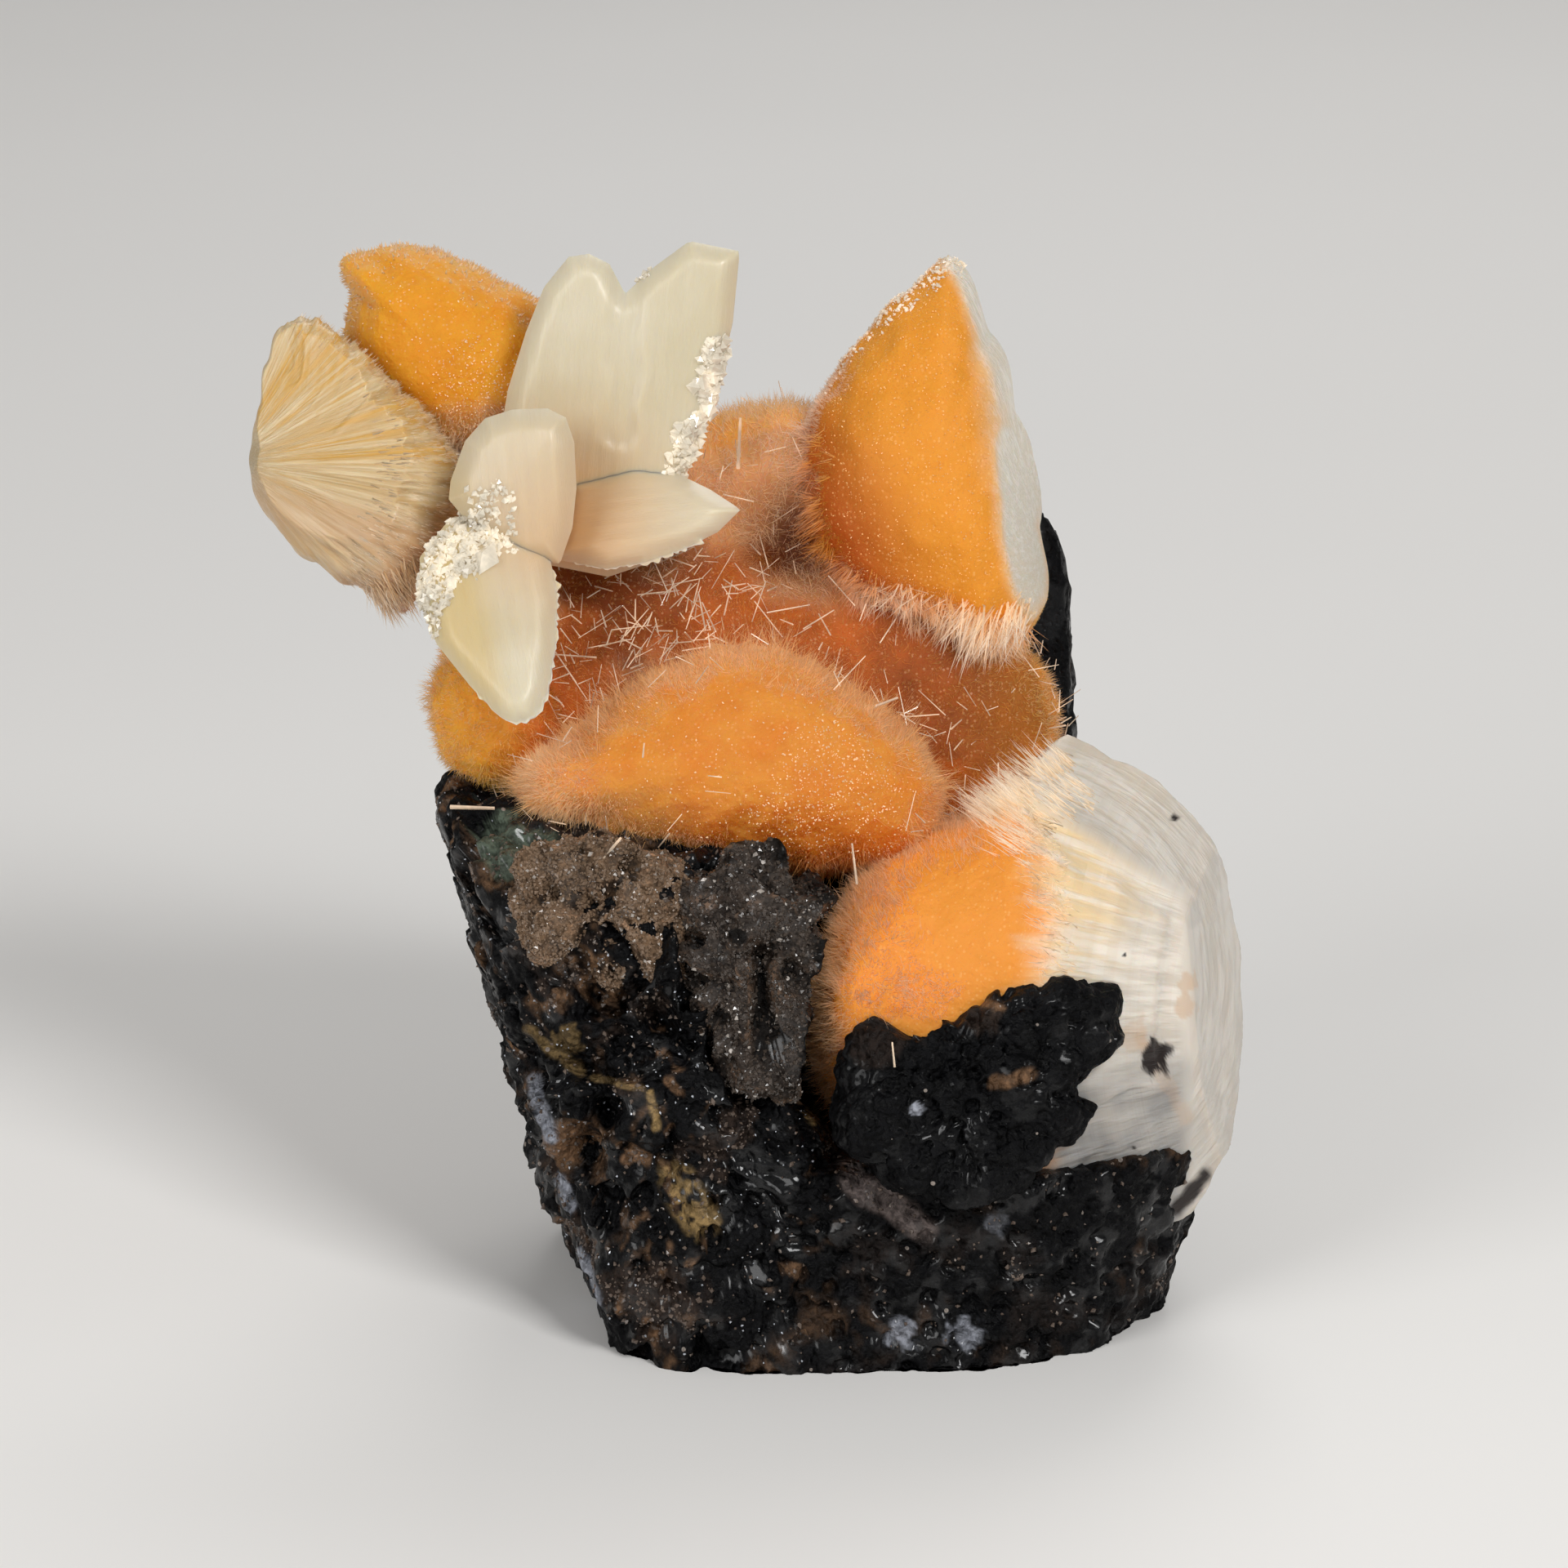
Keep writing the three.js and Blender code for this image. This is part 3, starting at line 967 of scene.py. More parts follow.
@dataclass(frozen=True)
class Velvet(Look):
    """The ground of a ball or of the lining, seen between its needles: its colours by place, with painted
    shade.
    """

    # deep: a darker tone for random patches, and the colour of the painted shade that the mark deep lays
    deep: int
    full: int
    pale: int
    warm: int = 0xEE9A44
    scatter: float = 0.0015

    def make(self, effects: Effects) -> bpy.types.Material:
        """Builds the material, which reads the marks warm, rim and deep; deep lays painted shade.

        Args:
            effects: the shared node groups.

        Returns:
            The material.
        """
        finish = Finish(
            self.name, effects, Subsurface_Weight=0.8, Subsurface_Radius=(1.0, 0.4, 0.1),
            Subsurface_Scale=self.scatter, Specular_IOR_Level=0.3,
        )
        ground = finish.mix(finish.times(finish.mottle(420.0, 0.35, 0.65), 0.4), self.full, self.deep)
        ground = finish.over(ground, self.warm, "warm")
        ground = finish.over(ground, self.pale, "rim", 0.8)
        # Painted shade: the deep colour where the mark deep says
        ground = finish.over(ground, self.deep, "deep")
        grain = finish.grain()
        finish.colour(finish.mix(finish.times(grain, 0.35), ground, self.pale))
        finish.roughness(grain, 0.7, 0.4)
        finish.bump(finish.cloud(), 0.0001)
        return finish.material


@dataclass(frozen=True)
class Fur(Look):
    """Fine needles: a colour at the foot, one at the point, a paler pair on the rim, a warm one, and a deep
    one for painted shade.

    They are thin and clear, so most of the light passes on, and their shadows are weak.
    """

    foot: int
    point: int
    rim_foot: int
    rim_point: int
    # The colour of painted shade, where the mark deep says
    deep: int = 0xF07E20
    warm: int = 0xE8A040
    passing: float = 0.85
    gloss: float = 0.3

    def make(self, effects: Effects) -> bpy.types.Material:
        """Builds the material, which reads the marks tip, rim, deep, warm and pick; deep lays painted shade.

        Args:
            effects: the shared node groups.

        Returns:
            The material.
        """
        finish = Finish(
            self.name, effects, Subsurface_Weight=0.6, Subsurface_Radius=(1.0, 0.8, 0.6),
            Subsurface_Scale=0.002, Specular_IOR_Level=self.gloss, Roughness=0.35,
        )
        tip = finish.mark("tip")
        # Painted shade on the needles where the mark deep says
        plain = finish.over(finish.mix(tip, self.foot, self.point), self.deep, "deep", 0.8)
        tone = finish.mix(finish.mark("rim"), plain, finish.mix(tip, self.rim_foot, self.rim_point))
        tone = finish.over(tone, self.warm, "warm", 0.8)
        finish.colour(finish.brightness(tone, finish.ramp(finish.mark("pick"), 0.0, 1.0, 0.75, 1.12)))
        finish.let_light_by(self.passing)
        return finish.material


@dataclass(frozen=True)
class Glassy(Look):
    """Clear rods and grains: their tint, how clear and how dull they are, and how much light goes on."""

    tint: int
    clear: float = 0.0
    dull: float = 0.12
    passing: float = 0.0

    def make(self, effects: Effects) -> bpy.types.Material:
        """Builds the material.

        Args:
            effects: the shared node groups.

        Returns:
            The material.
        """
        finish = Finish(self.name, effects, Roughness=self.dull, IOR=1.52, Transmission_Weight=self.clear)
        if self.passing:
            finish.let_light_by(self.passing)
        cloud = finish.ramp(finish.mottle(900.0, 0.3, 0.7), 0.0, 1.0, 0.75, 1.1)
        finish.colour(finish.brightness(self.tint, cloud))
        return finish.material


@dataclass(frozen=True)
class Pearl(Look):
    """Pale broken faces of packed fibres, with bands of growth and stains, and the velvet of their cap."""

    cream: int = 0xD6CCBE
    white: int = 0xECE4D8
    warm: int = 0xEACFA2
    cool: int = 0xBDBFC4
    shade: int = 0xCBA682
    brown: int = 0x1C100B
    velvet: int = 0xE89634
    # The colour of painted shade on the velvet
    deep: int = 0xD87012
    fleck: int = 0xF4C07A
    banded: float = 0.08
    fine: float = 2.0
    relief: float = 0.00006

    def make(self, effects: Effects) -> bpy.types.Material:
        """Builds the material, which reads the marks fibre, calm, bands, cap, warm, cool, shade, stain and
        deep; deep lays painted shade on the velvet.

        Args:
            effects: the shared node groups.

        Returns:
            The material.
        """
        finish = Finish(
            self.name, effects, Subsurface_Weight=0.5, Subsurface_Radius=(1.0, 0.6, 0.35),
            Subsurface_Scale=0.0007, Specular_IOR_Level=0.4, Coat_Roughness=0.25,
        )
        strand = finish.group(effects.strands, Vector=finish.mark("fibre", "Vector"), Scale=self.fine)
        strand = finish.node("Mix", {0: finish.mark("calm"), 2: strand, 3: 0.5}).outputs[0]
        ring = {"W": finish.mark("bands"), "Scale": 1.6, "Detail": 3.0}
        bands = finish.node("TexNoise", ring, noise_dimensions="1D").outputs[0]
        tone = finish.mix(strand, self.cream, self.white)
        tone = finish.mix(finish.ramp(bands, 0.48, 0.62, 0.0, self.banded), tone, self.shade)
        warm = finish.times(finish.mark("warm"), finish.ramp(strand, 0.2, 0.9, 1.0, 0.35))
        tone = finish.over(finish.mix(warm, tone, self.warm), self.cool, "cool")
        tone = finish.over(tone, self.shade, "shade")
        cap = finish.mark("cap")
        bare = finish.math("SUBTRACT", 1.0, cap)
        # Painted shade on the velvet where the mark deep says
        velvet = finish.over(self.velvet, self.deep, "deep")
        velvet = finish.mix(finish.times(finish.grain(), 0.3), velvet, self.fleck)
        finish.colour(finish.over(finish.mix(cap, tone, velvet), self.brown, "stain"))
        finish.roughness(cap, 0.4, 0.65)
        finish.feed(finish.shader["Coat Weight"], finish.times(bare, 0.2))
        lines = finish.math("ADD", strand, finish.times(bands, 0.7))
        height = finish.math("ADD", finish.times(lines, bare), finish.times(finish.cloud(), cap))
        finish.bump(height, self.relief)
        return finish.material


@dataclass(frozen=True)
class Calcite(Look):
    """Milky calcite: cream, peach towards the roots, with faint lines of growth along each crystal and a
    painted highlight along its edges.
    """

    cream: int = 0xCBBF9F
    white: int = 0xD9D0BA
    peach: int = 0xD2A470
    honey: int = 0xCDB06A

    def make(self, effects: Effects) -> bpy.types.Material:
        """Builds the material, which reads the marks root, honey, edge and line; edge lays a painted
        highlight along the bevels.

        Args:
            effects: the shared node groups.

        Returns:
            The material.
        """
        finish = Finish(
            self.name, effects, Subsurface_Weight=0.8, Subsurface_Radius=(1.0, 0.8, 0.5),
            Subsurface_Scale=0.0007, IOR=1.5, Coat_Weight=0.1, Coat_Roughness=0.15,
        )
        milk = finish.mottle(120.0, 0.1, 0.9)
        tone = finish.mix(milk, self.cream, self.white)
        tone = finish.over(finish.over(tone, self.peach, "root"), self.honey, "honey")
        # Painted highlight: paler along the bevelled edges
        finish.colour(finish.over(tone, self.white, "edge", 0.4))
        finish.roughness(milk, 0.32, 0.4)
        line = finish.group(effects.strands, Vector=finish.mark("line", "Vector"), Scale=1.6)
        finish.bump(line, 0.000008)
        return finish.material


@dataclass(frozen=True)
class Stone(Look):
    """Dark rock with a grain of tiny facets, and coats of other colours where its marks say."""

    dark: int
    light: int
    coats: tuple[tuple[str, int], ...]
    facet: float = 3600.0
    tilt: float = 0.35
    speck: int = 0x8A8078
    speck_share: float = 0.01
    gloss: float = 0.35
    lump: float = 0.00016
    sheen: float = 0.55

    def make(self, effects: Effects) -> bpy.types.Material:
        """Builds the material, which reads one mark for each coat.

        Args:
            effects: the shared node groups.

        Returns:
            The material.
        """
        finish = Finish(self.name, effects, Specular_IOR_Level=0.12, Coat_Roughness=0.15)
        tone = finish.mix(finish.mottle(900.0, 0.35, 0.65), self.dark, self.light)
        for label, code in self.coats:
            tone = finish.over(tone, code, label)
        fine = finish.mottle(3000.0, 0.3, 0.7)
        shaded = finish.brightness(tone, finish.ramp(fine, 0.0, 1.0, 0.6, 1.3))
        finish.colour(finish.mix(finish.specks(2600.0, 0.3, self.speck_share), shaded, self.speck))
        finish.roughness(fine, self.gloss, 0.8)
        wet = finish.times(finish.mottle(520.0, 0.5, 0.6), self.sheen)
        finish.feed(finish.shader["Coat Weight"], wet)
        cell = finish.node("TexVoronoi", {"Vector": finish.here, "Scale": 2300.0})
        knob = finish.ramp(cell.outputs["Distance"], 0.0, 0.75, 1.0, 0.0)
        facets = finish.group(effects.glints, Scale=self.facet, Tilt=self.tilt)
        finish.bump(finish.math("ADD", knob, finish.times(fine, 0.6)), self.lump, Normal=facets)
        return finish.material


def velvet(points: Places) -> Values:
    """The gentle waves of a grown ball."""
    return 0.25 * noise(points, 3.2, 2) + 0.12 * noise(points, 1.3, 5)


def skin(inset: float) -> Relief:
    """The relief of a ball's ground, some mm inside its solid: gentle waves and a fine grain."""
    return lambda points: velvet(points) - inset + 0.05 * noise(points, 0.45, 11)


def fibre_marks(points: Places, start: Place, squash: float = 1.0) -> dict[str, Values]:
    """Marks of fibres that spread from one place.

    Args:
        points: the points.
        start: where the fibres start, on the show face.
        squash: how much of the height above the face counts; less makes longer fibres along the face.

    Returns:
        "fibre": the ray from the start, 10 units long, which changes little along it; "bands": the distance.
    """
    arm = (face_places(points) - start) * (1.0, 1.0, squash)
    far = np.linalg.norm(arm, axis=1)
    return {"fibre": unit(arm) * (10 + 0.04 * far)[:, None], "bands": far}


CENTRE_DOME = Lump(
    (-5.2, 28.5, -1.0),
    ((2, 8.8), (18, 7.2), (39, 6.0), (68, 5.8), (90, 6.0), (128, 6.3), (145, 7.4), (162, 8.4), (175, 10.2),
     (183, 12.2), (191, 12.4), (201, 9.9), (225, 7.4), (252, 6.3), (281, 6.1), (304, 7.2), (333, 9.6),
     (350, 9.7)),
    7.6, 6.0, 2.3,
)
LOWER_BALL = Lump(
    (7.2, 17.7, -1.5),
    ((0, 12.6), (20, 12.2), (62, 12.4), (77, 12.5), (90, 9.6), (110, 8.4), (142, 9.1), (167, 9.4),
     (203, 10.8), (227, 11.2), (272, 12.8), (308, 14.8), (320, 14.0), (340, 12.8)),
    9.2, 8.0, 2.2,
    (
        Break((12.6, 17, 5.0), (0.5, -0.05, 0.86)),
        Break((15.8, 19.5, 3.4), (0.93, 0.05, 0.36)),
        Break((12.4, 23.4, 3.0), (0.42, 0.62, 0.66)),
        Break((13.6, 11.5, 3.6), (0.42, -0.4, 0.81)),
    ),
)
UPPER_RIGHT = Lump(
    (3.2, 42.5, -3.5),
    ((10, 5.6), (36, 5.6), (67, 8.0), (80, 10.3), (85, 10.6), (97, 9.4), (114, 8.0), (140, 6.9), (165, 6.6),
     (187, 6.5), (218, 6.9), (243, 7.4), (267, 7.7), (281, 8.6), (291, 9.8), (303, 9.5), (313, 8.8),
     (336, 6.3)),
    7.0, 6.0, 2.1,
    (Break((6.1, 45, 2.2), (0.93, 0.08, 0.34)),),
)
UPPER_LEFT = Lump(
    (-20.8, 48.6, -6.5),
    ((0, 6.8), (27, 5.7), (54, 5.0), (80, 5.2), (98, 5.7), (124, 6.7), (138, 7.5), (148, 5.9), (163, 5.5),
     (185, 5.0), (233, 4.4), (280, 5.2), (315, 6.6), (336, 7.9)),
    6.0, 3.6, 2.4,
)
LEFT_FAN = Lump(
    (-25.4, 42.4, -1.5),
    ((9, 5.0), (55, 5.0), (86, 6.4), (102, 8.0), (115, 8.2), (126, 7.0), (141, 5.8), (164, 5.2), (200, 4.8),
     (223, 4.5), (250, 4.8), (274, 5.5), (293, 7.3), (315, 5.8), (347, 5.2)),
    4.2, 4.6, 2.6,
    (Break((-26, 42, 1.6), (-0.16, 0.1, 0.98)),),
)
LINING = Lump(
    (-6.4, 36.5, -8.5),
    ((0, 13.5), (20, 11.0), (42, 11.6), (60, 11.2), (75, 10.4), (102, 9.4), (122, 11.8), (138, 15.0),
     (154, 14.6), (180, 14.6), (205, 16.6), (222, 16.6), (250, 12), (290, 11.5), (322, 20.0), (340, 17.6)),
    8.0, 3.0, 3.2,
)
LEFT_KNOB = Lump(
    (-18.4, 31.0, -3.6),
    ((0, 3.6), (45, 3.2), (90, 3.6), (150, 3.4), (190, 3.2), (230, 3.6), (280, 4.2), (330, 5.0)),
    5.0, 4.0, 2.3,
)
FLAKE = Lump(
    (4.9, 12.4, 6.4),
    ((0, 5.8), (22, 7.8), (36, 8.8), (48, 7.8), (62, 6.4), (84, 4.4), (104, 3.2), (125, 4.6), (152, 6.2),
     (172, 6.2), (200, 6.8), (225, 5.6), (262, 5.2), (296, 5.2), (328, 4.8)),
    2.6, 2.4, 3.4, (), (0.12, 0.05, 1.0),
)
CRUST_LEFT = Lump(
    (-12.6, 21.0, 5.6),
    ((0, 3.6), (30, 3.8), (60, 3.4), (95, 3.4), (130, 3.9), (165, 4.0), (200, 3.4), (245, 2.6), (290, 3.6),
     (325, 4.6)),
    1.7, 2.2, 3.0,
)
CRUST_RIGHT = Lump(
    (-5.2, 18.8, 6.0),
    ((0, 3.4), (40, 4.2), (75, 4.8), (105, 5.2), (135, 4.4), (170, 3.2), (215, 3.4), (250, 5.0), (275, 6.4),
     (300, 5.6), (330, 3.8)),
    1.8, 2.2, 3.0,
)


@dataclass
class Specimen:
    """What every sub-assembly shares: the effects, the random numbers and the way a piece is handed in."""

    effects: Effects
    rng: Rng
    tuft: float = 1.1

    def hand_in(self, surface: Surface, name: str, look: Look, slot: Slot, *nodes: str) -> None:
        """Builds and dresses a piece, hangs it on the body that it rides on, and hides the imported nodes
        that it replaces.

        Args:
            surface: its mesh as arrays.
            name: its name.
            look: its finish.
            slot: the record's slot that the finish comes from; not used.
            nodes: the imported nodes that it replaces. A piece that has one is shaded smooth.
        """
        piece = surface.build(name, smooth=bool(nodes))
        piece.data.materials.append(self.effects.material(look))
        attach(piece, BODY)
        if nodes:
            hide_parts(*nodes)
        piece.data.calc_loop_triangles()
        LOG.info("%s: %d triangles", piece.name, len(piece.data.loop_triangles))

    def fur(
        self, surface: Surface, weight: Values, count: int, lengths: Values | float, width: float,
        lean: float, drift: Places | None = None, swirl: float = 0.8,
    ) -> Surface:
        """Grows needles on a surface, each along its normal, the swirl of its tuft and a random lean.

        Args:
            surface: what they grow on; its marks go on to the needles.
            weight: how thick they stand at each point.
            count: how many there are.
            lengths: their mean length at each point, in mm.
            width: the width of a foot, in mm.
            lean: how far they lean at random, as a share of their length.
            drift: a direction that they all lean in.
            swirl: how far the needles of a tuft lean together.

        Returns:
            The needles, with the surface's marks, "tip" and "pick", a random number of each needle.
        """
        grown = Surface(surface.points, surface.faces, {**surface.marks, "long": lengths + 0 * weight})
        seats = seats_on(grown, weight, count, self.rng)
        ways = seats.normals + lean * self.rng.normal(size=seats.normals.shape)
        tuft = [noise(seats.points, self.tuft, 50 + k) for k in range(3)]
        ways = ways + swirl * np.stack(tuft, axis=1)
        if drift is not None:
            ways = ways + drift
        length = seats.marks.pop("long") * self.rng.uniform(0.55, 1.25, count)
        feet = seats.points - 0.08 * seats.normals
        made = needles(feet, unit(ways), length, width * self.rng.uniform(0.6, 1.3, count), self.rng)
        for label, values in seats.marks.items():
            made.marks[label] = np.repeat(values, 4, axis=0)
        made.marks["pick"] = np.repeat(self.rng.random(count), 4)
        return made


def hidden_in(points: Places, others: tuple[Lump, ...], margin: float = 0.2) -> Values:
    """0 where a point is inside one of the other lumps, and 1 where it is in the open.

    Args:
        points: points of the part's frame.
        others: the lumps.
        margin: how deep still counts as open, in mm.

    Returns:
        0 or 1 for each point.
    """
    open_air = np.ones(len(points))
    for other in others:
        open_air *= other.depth(points) < margin
    return open_air


@dataclass(frozen=True)
class Sheaf:
    """Thick needles side by side: they stand along a line on the show face, and spread one way."""

    first: Spot
    last: Spot
    way: Place
    count: int
    length: float
    width: float
    spread: float
    band: float = 1.6

    def grow(self, surface: Surface, rng: Rng) -> Surface:
        """Grows the needles.

        Args:
            surface: what they stand on.
            rng: the source of random numbers.

        Returns:
            The needles, with the marks tip, rim, deep and pick; deep, the painted shade, is 0 on them.
        """
        line = streak(surface.points, self.first, self.last, self.band) * (surface.normals() @ OUT > 0)
        seats = seats_on(surface, line, self.count, rng)
        bundle = np.stack([noise(seats.points, 0.55, 60 + k) for k in range(3)], axis=1)
        ways = unit(np.array(self.way)) + self.spread * rng.normal(size=(self.count, 3))
        ways = unit((ways + 4 * self.spread * bundle) @ FACE)
        lengths = self.length * rng.uniform(0.5, 1.2, self.count)
        widths = self.width * rng.uniform(0.6, 1.3, self.count)
        made = needles(seats.points - 0.25 * ways, ways, lengths, widths, rng)
        made.marks["rim"] = np.ones(4 * self.count)
        made.marks["deep"] = np.zeros(4 * self.count)
        made.marks["pick"] = np.repeat(rng.random(self.count), 4)
        return made


@dataclass
class Balls(Specimen):
    """The velvety orange balls: the centre dome, and the upper left and upper right balls."""

    apex: Place = (4.2, 52.6, -3.5)
    dome_needles: int = 38500
    dome_tufts: int = 6400
    dome_grains: int = 1300
    left_needles: int = 22000
    left_tufts: int = 1500
    left_grains: int = 800
    right_needles: int = 29500
    right_tufts: int = 4200
    right_grains: int = 900
    sheaves: tuple[Sheaf, ...] = (
        Sheaf((5.0, 35.3), (7.6, 35.5), (-0.4, -1.0, 0.45), 190, 2.6, 0.13, 0.16, 1.4),
        Sheaf((0.8, 36.6), (5.0, 35.2), (-0.6, -1.0, 0.7), 200, 1.6, 0.11, 0.35, 1.4),
    )

    @staticmethod
    def dressed(surface: Surface) -> Surface:
        """Adds the marks rim, where a ball turns away, and deep, painted shade where it faces down.

        Args:
            surface: the ball's ground.

        Returns:
            The same surface.
        """
        normals = surface.normals()
        surface.marks["rim"] = 1.0 - ease(normals @ OUT + 0.12 * noise(surface.points, 1.6, 4), 0.3, 0.85)
        # Painted shade: darker where the ball faces down
        surface.marks["deep"] = ease(-(normals @ UP), 0.2, 0.8)
        return surface

    def grains(
        self, name: str, surface: Surface, weight: Values, count: int, lift: float, size: float = 0.035,
        tint: int = 0xFCD8AC,
    ) -> None:
        """Strews tiny pale crystals over a ball, where the points of its needles catch the light.

        Args:
            name: the piece's name.
            surface: the ball's ground.
            weight: how thick they lie at each point.
            count: how many there are.
            lift: how far they stand off the ground, in mm.
            size: how much larger than the smallest the largest is, in mm.
            tint: their colour.
        """
        seats = seats_on(surface, weight, count, self.rng)
        middles = seats.points + lift * self.rng.uniform(0.6, 1.1, count)[:, None] * seats.normals
        made = crystals(middles, 0.02 + size * self.rng.random(count) ** 2, self.rng)
        self.hand_in(made, name, Glassy(name.replace("_", " "), tint, passing=0.6), Slot.THOMSONITE)

    def dome(self) -> None:
        """The wide dome in the middle: short needles in front, longer ones in tufts round its rim."""
        surface = self.dressed(CENTRE_DOME.surface(60, skin(0.5)))
        points, marks = surface.points, surface.marks
        across, up, _ = face_places(points).T
        facing = surface.normals() @ OUT
        west = 1 - ease(across + 0.4 * (up - 26), -15.5, -10.8)
        # The underside's left part is painted pale, painted light in place of its shade; the painted shade of
        # the underside is kept to its right part
        underside_light = 0.55 * marks["deep"] * (1 - ease(across, -10.0, -5.0))
        below = marks["deep"] = marks["deep"] * ease(across, -12.0, -7.0)
        pale = np.maximum(0.85 * west, 0.55 * marks["rim"] * (1 - 0.9 * below))
        marks["rim"] = np.maximum(pale, underside_light)
        look = Velvet("dome orange", 0xD27214, 0xDC9236, 0xE8AE6C)
        self.hand_in(surface, "dome_ground", look, Slot.THOMSONITE, "thomsonite_centre_dome")

        rim = 1.0 - ease(facing, 0.25, 0.8)
        seen = hidden_in(points, (LOWER_BALL,))
        clumps = 0.15 + ease(noise(points, 0.8, 31), -0.1, 0.4)
        short = 0.14 + 0.22 * rim + 0.4 * west
        front = self.fur(surface, seen * ease(facing, -0.3, 0.3), self.dome_needles, short, 0.06, 0.35)
        thick = seen * clumps * (rim + 0.9 * west) * (facing > -0.5) * (1 - 0.8 * below)
        longer = 0.8 + 1.2 * ease(noise(points, 1.7, 34), -0.15, 0.5)
        fringe = self.fur(surface, thick, self.dome_tufts, longer, 0.045, 0.4, 0.2 * OUT)
        fringe.marks["rim"] = 0.4 + 0.6 * fringe.marks["rim"]
        look = Fur("dome needles", 0xD88424, 0xE4A048, 0xF8B868, 0xFFE0AC, 0xD8721A, passing=0.9)
        self.hand_in(front, "dome_needles", look, Slot.THOMSONITE)
        look = Fur("dome fringe", 0xE69438, 0xF0B060, 0xFFB65C, 0xFFD892, 0xDC7A1C, passing=0.95)
        self.hand_in(fringe, "dome_fringe", look, Slot.THOMSONITE)
        bright = ease(facing, 0.3, 0.9) * (0.2 + blot(points, (-1.6, 26.8), 4.0, 0.8, 5)) * seen
        self.grains("dome_grains", surface, bright, self.dome_grains, 0.14)

    def upper_left(self) -> None:
        """The ball behind the calcite, with a fringe of crystals along its top."""
        surface = self.dressed(UPPER_LEFT.surface(50, skin(0.3)))
        points, marks = surface.points, surface.marks
        across, up, _ = face_places(points).T
        facing = surface.normals() @ OUT
        low = 1.0 - ease(up - 0.25 * (across + 20) + 0.6 * noise(points, 1.0, 6), 44.4, 46.6)
        top = marks["rim"] * ease(up, 47, 52)
        marks["rim"] = np.clip(0.5 * top + low, 0, 1)
        # Painted shade on the ball's right side, beside the calcite
        marks["deep"] = 0.5 * ease(across + 0.3 * up, -4.5, 2.0)
        look = Velvet("upper left orange", 0xD88412, 0xE09C22, 0xE6B47A)
        self.hand_in(surface, "upper_left_ground", look, Slot.THOMSONITE, "thomsonite_upper_left_ball")

        short = 0.1 + 0.45 * low
        front = self.fur(surface, 1.0 * (facing > -0.4), self.left_needles, short, 0.07, 0.35)
        fringe = self.fur(surface, top + 0.12 * low, self.left_tufts, 0.34, 0.16, 0.25)
        bright = ease(facing, 0.2, 0.8) * (0.1 + blot(points, (-18.6, 46.4), 2.6, 0.6, 5))
        self.grains("upper_left_grains", surface, bright, self.left_grains, 0.12)
        look = Fur("upper left needles", 0xDA961C, 0xE4A832, 0xE8AC62, 0xFAE4C4, 0xD88416)
        self.hand_in(merged([front, fringe]), "upper_left_needles", look, Slot.THOMSONITE)

    def pale_strip(self, points: Places) -> Values:
        """A mask of the broken strip on the upper right ball's right edge, wider from the apex down.

        Args:
            points: points of the part's frame.

        Returns:
            A mask of 0 to 1.
        """
        place = face_places(points)[:, :2] - (4.5, 52.7)
        gap = place @ np.array([-0.92, -0.393]) + 0.25 * noise(points, 1.4, 17)
        width = 0.5 + 1.7 * ease(-place[:, 1], 1.0, 12.0)
        return 1.0 - ease(gap, 0.1 * width, 1.7 * width)

    def pointed(self, points: Places) -> Values:
        """Relief of the upper right ball: its waves, calm on the strip, drawn up to a point at the apex.

        Args:
            points: points of the part's frame.

        Returns:
            A height in mm for each.
        """
        calm = 1 - 0.8 * self.pale_strip(points)
        gap = np.linalg.norm(points - on_face(self.apex), axis=1)
        return calm * velvet(points) - 0.3 + 1.1 * np.exp(-gap / 0.9)

    def upper_right(self) -> None:
        """The tall ball with a pale broken side and a fringe of long needles below."""
        surface = self.dressed(UPPER_RIGHT.surface(66, self.pointed))
        points, marks = surface.points, surface.marks
        across, up, _ = face_places(points).T
        facing = surface.normals() @ OUT
        pale = np.maximum(ease(marks.pop("over"), -0.5, 0.4), self.pale_strip(points))
        fringe = 1.0 - ease(up + 0.35 * across + 0.8 * noise(points, 1.2, 8), 35.4, 38.2)
        edge = (1 - ease(facing, 0.0, 0.45)) * ease(up, 38, 48)
        marks["rim"] = np.clip(np.maximum(0.8 * edge, 0.7 * fringe), 0, 1)
        # Painted shade on the ball's left side
        marks["deep"] = 1 - ease(across + 0.45 * (up - 42) + 0.5 * noise(points, 3, 9), -3.4, 3.2)
        worn = {
            **marks,
            **fibre_marks(points, (6.8, 38.0, -6.0)),
            "cap": 1.0 - pale,
            "warm": 0.9 * (1.0 - ease(pale, 0.3, 1.0)) + 0.3 * (1 - ease(up, 36.5, 41)),
            "cool": 0.8 * ease(pale, 0.7, 0.95) * ease(facing, 0.25, 0.6),
        }
        look = Pearl(
            "upper right orange and pearl", 0xDED4C0, 0xF0E8DC, cool=0xD6CAB8, velvet=0xE29424, deep=0xB04E08,
            banded=0.0,
        )
        ground = Surface(points, surface.faces, worn)
        self.hand_in(ground, "upper_right_ground", look, Slot.THOMSONITE, "thomsonite_upper_right_ball")

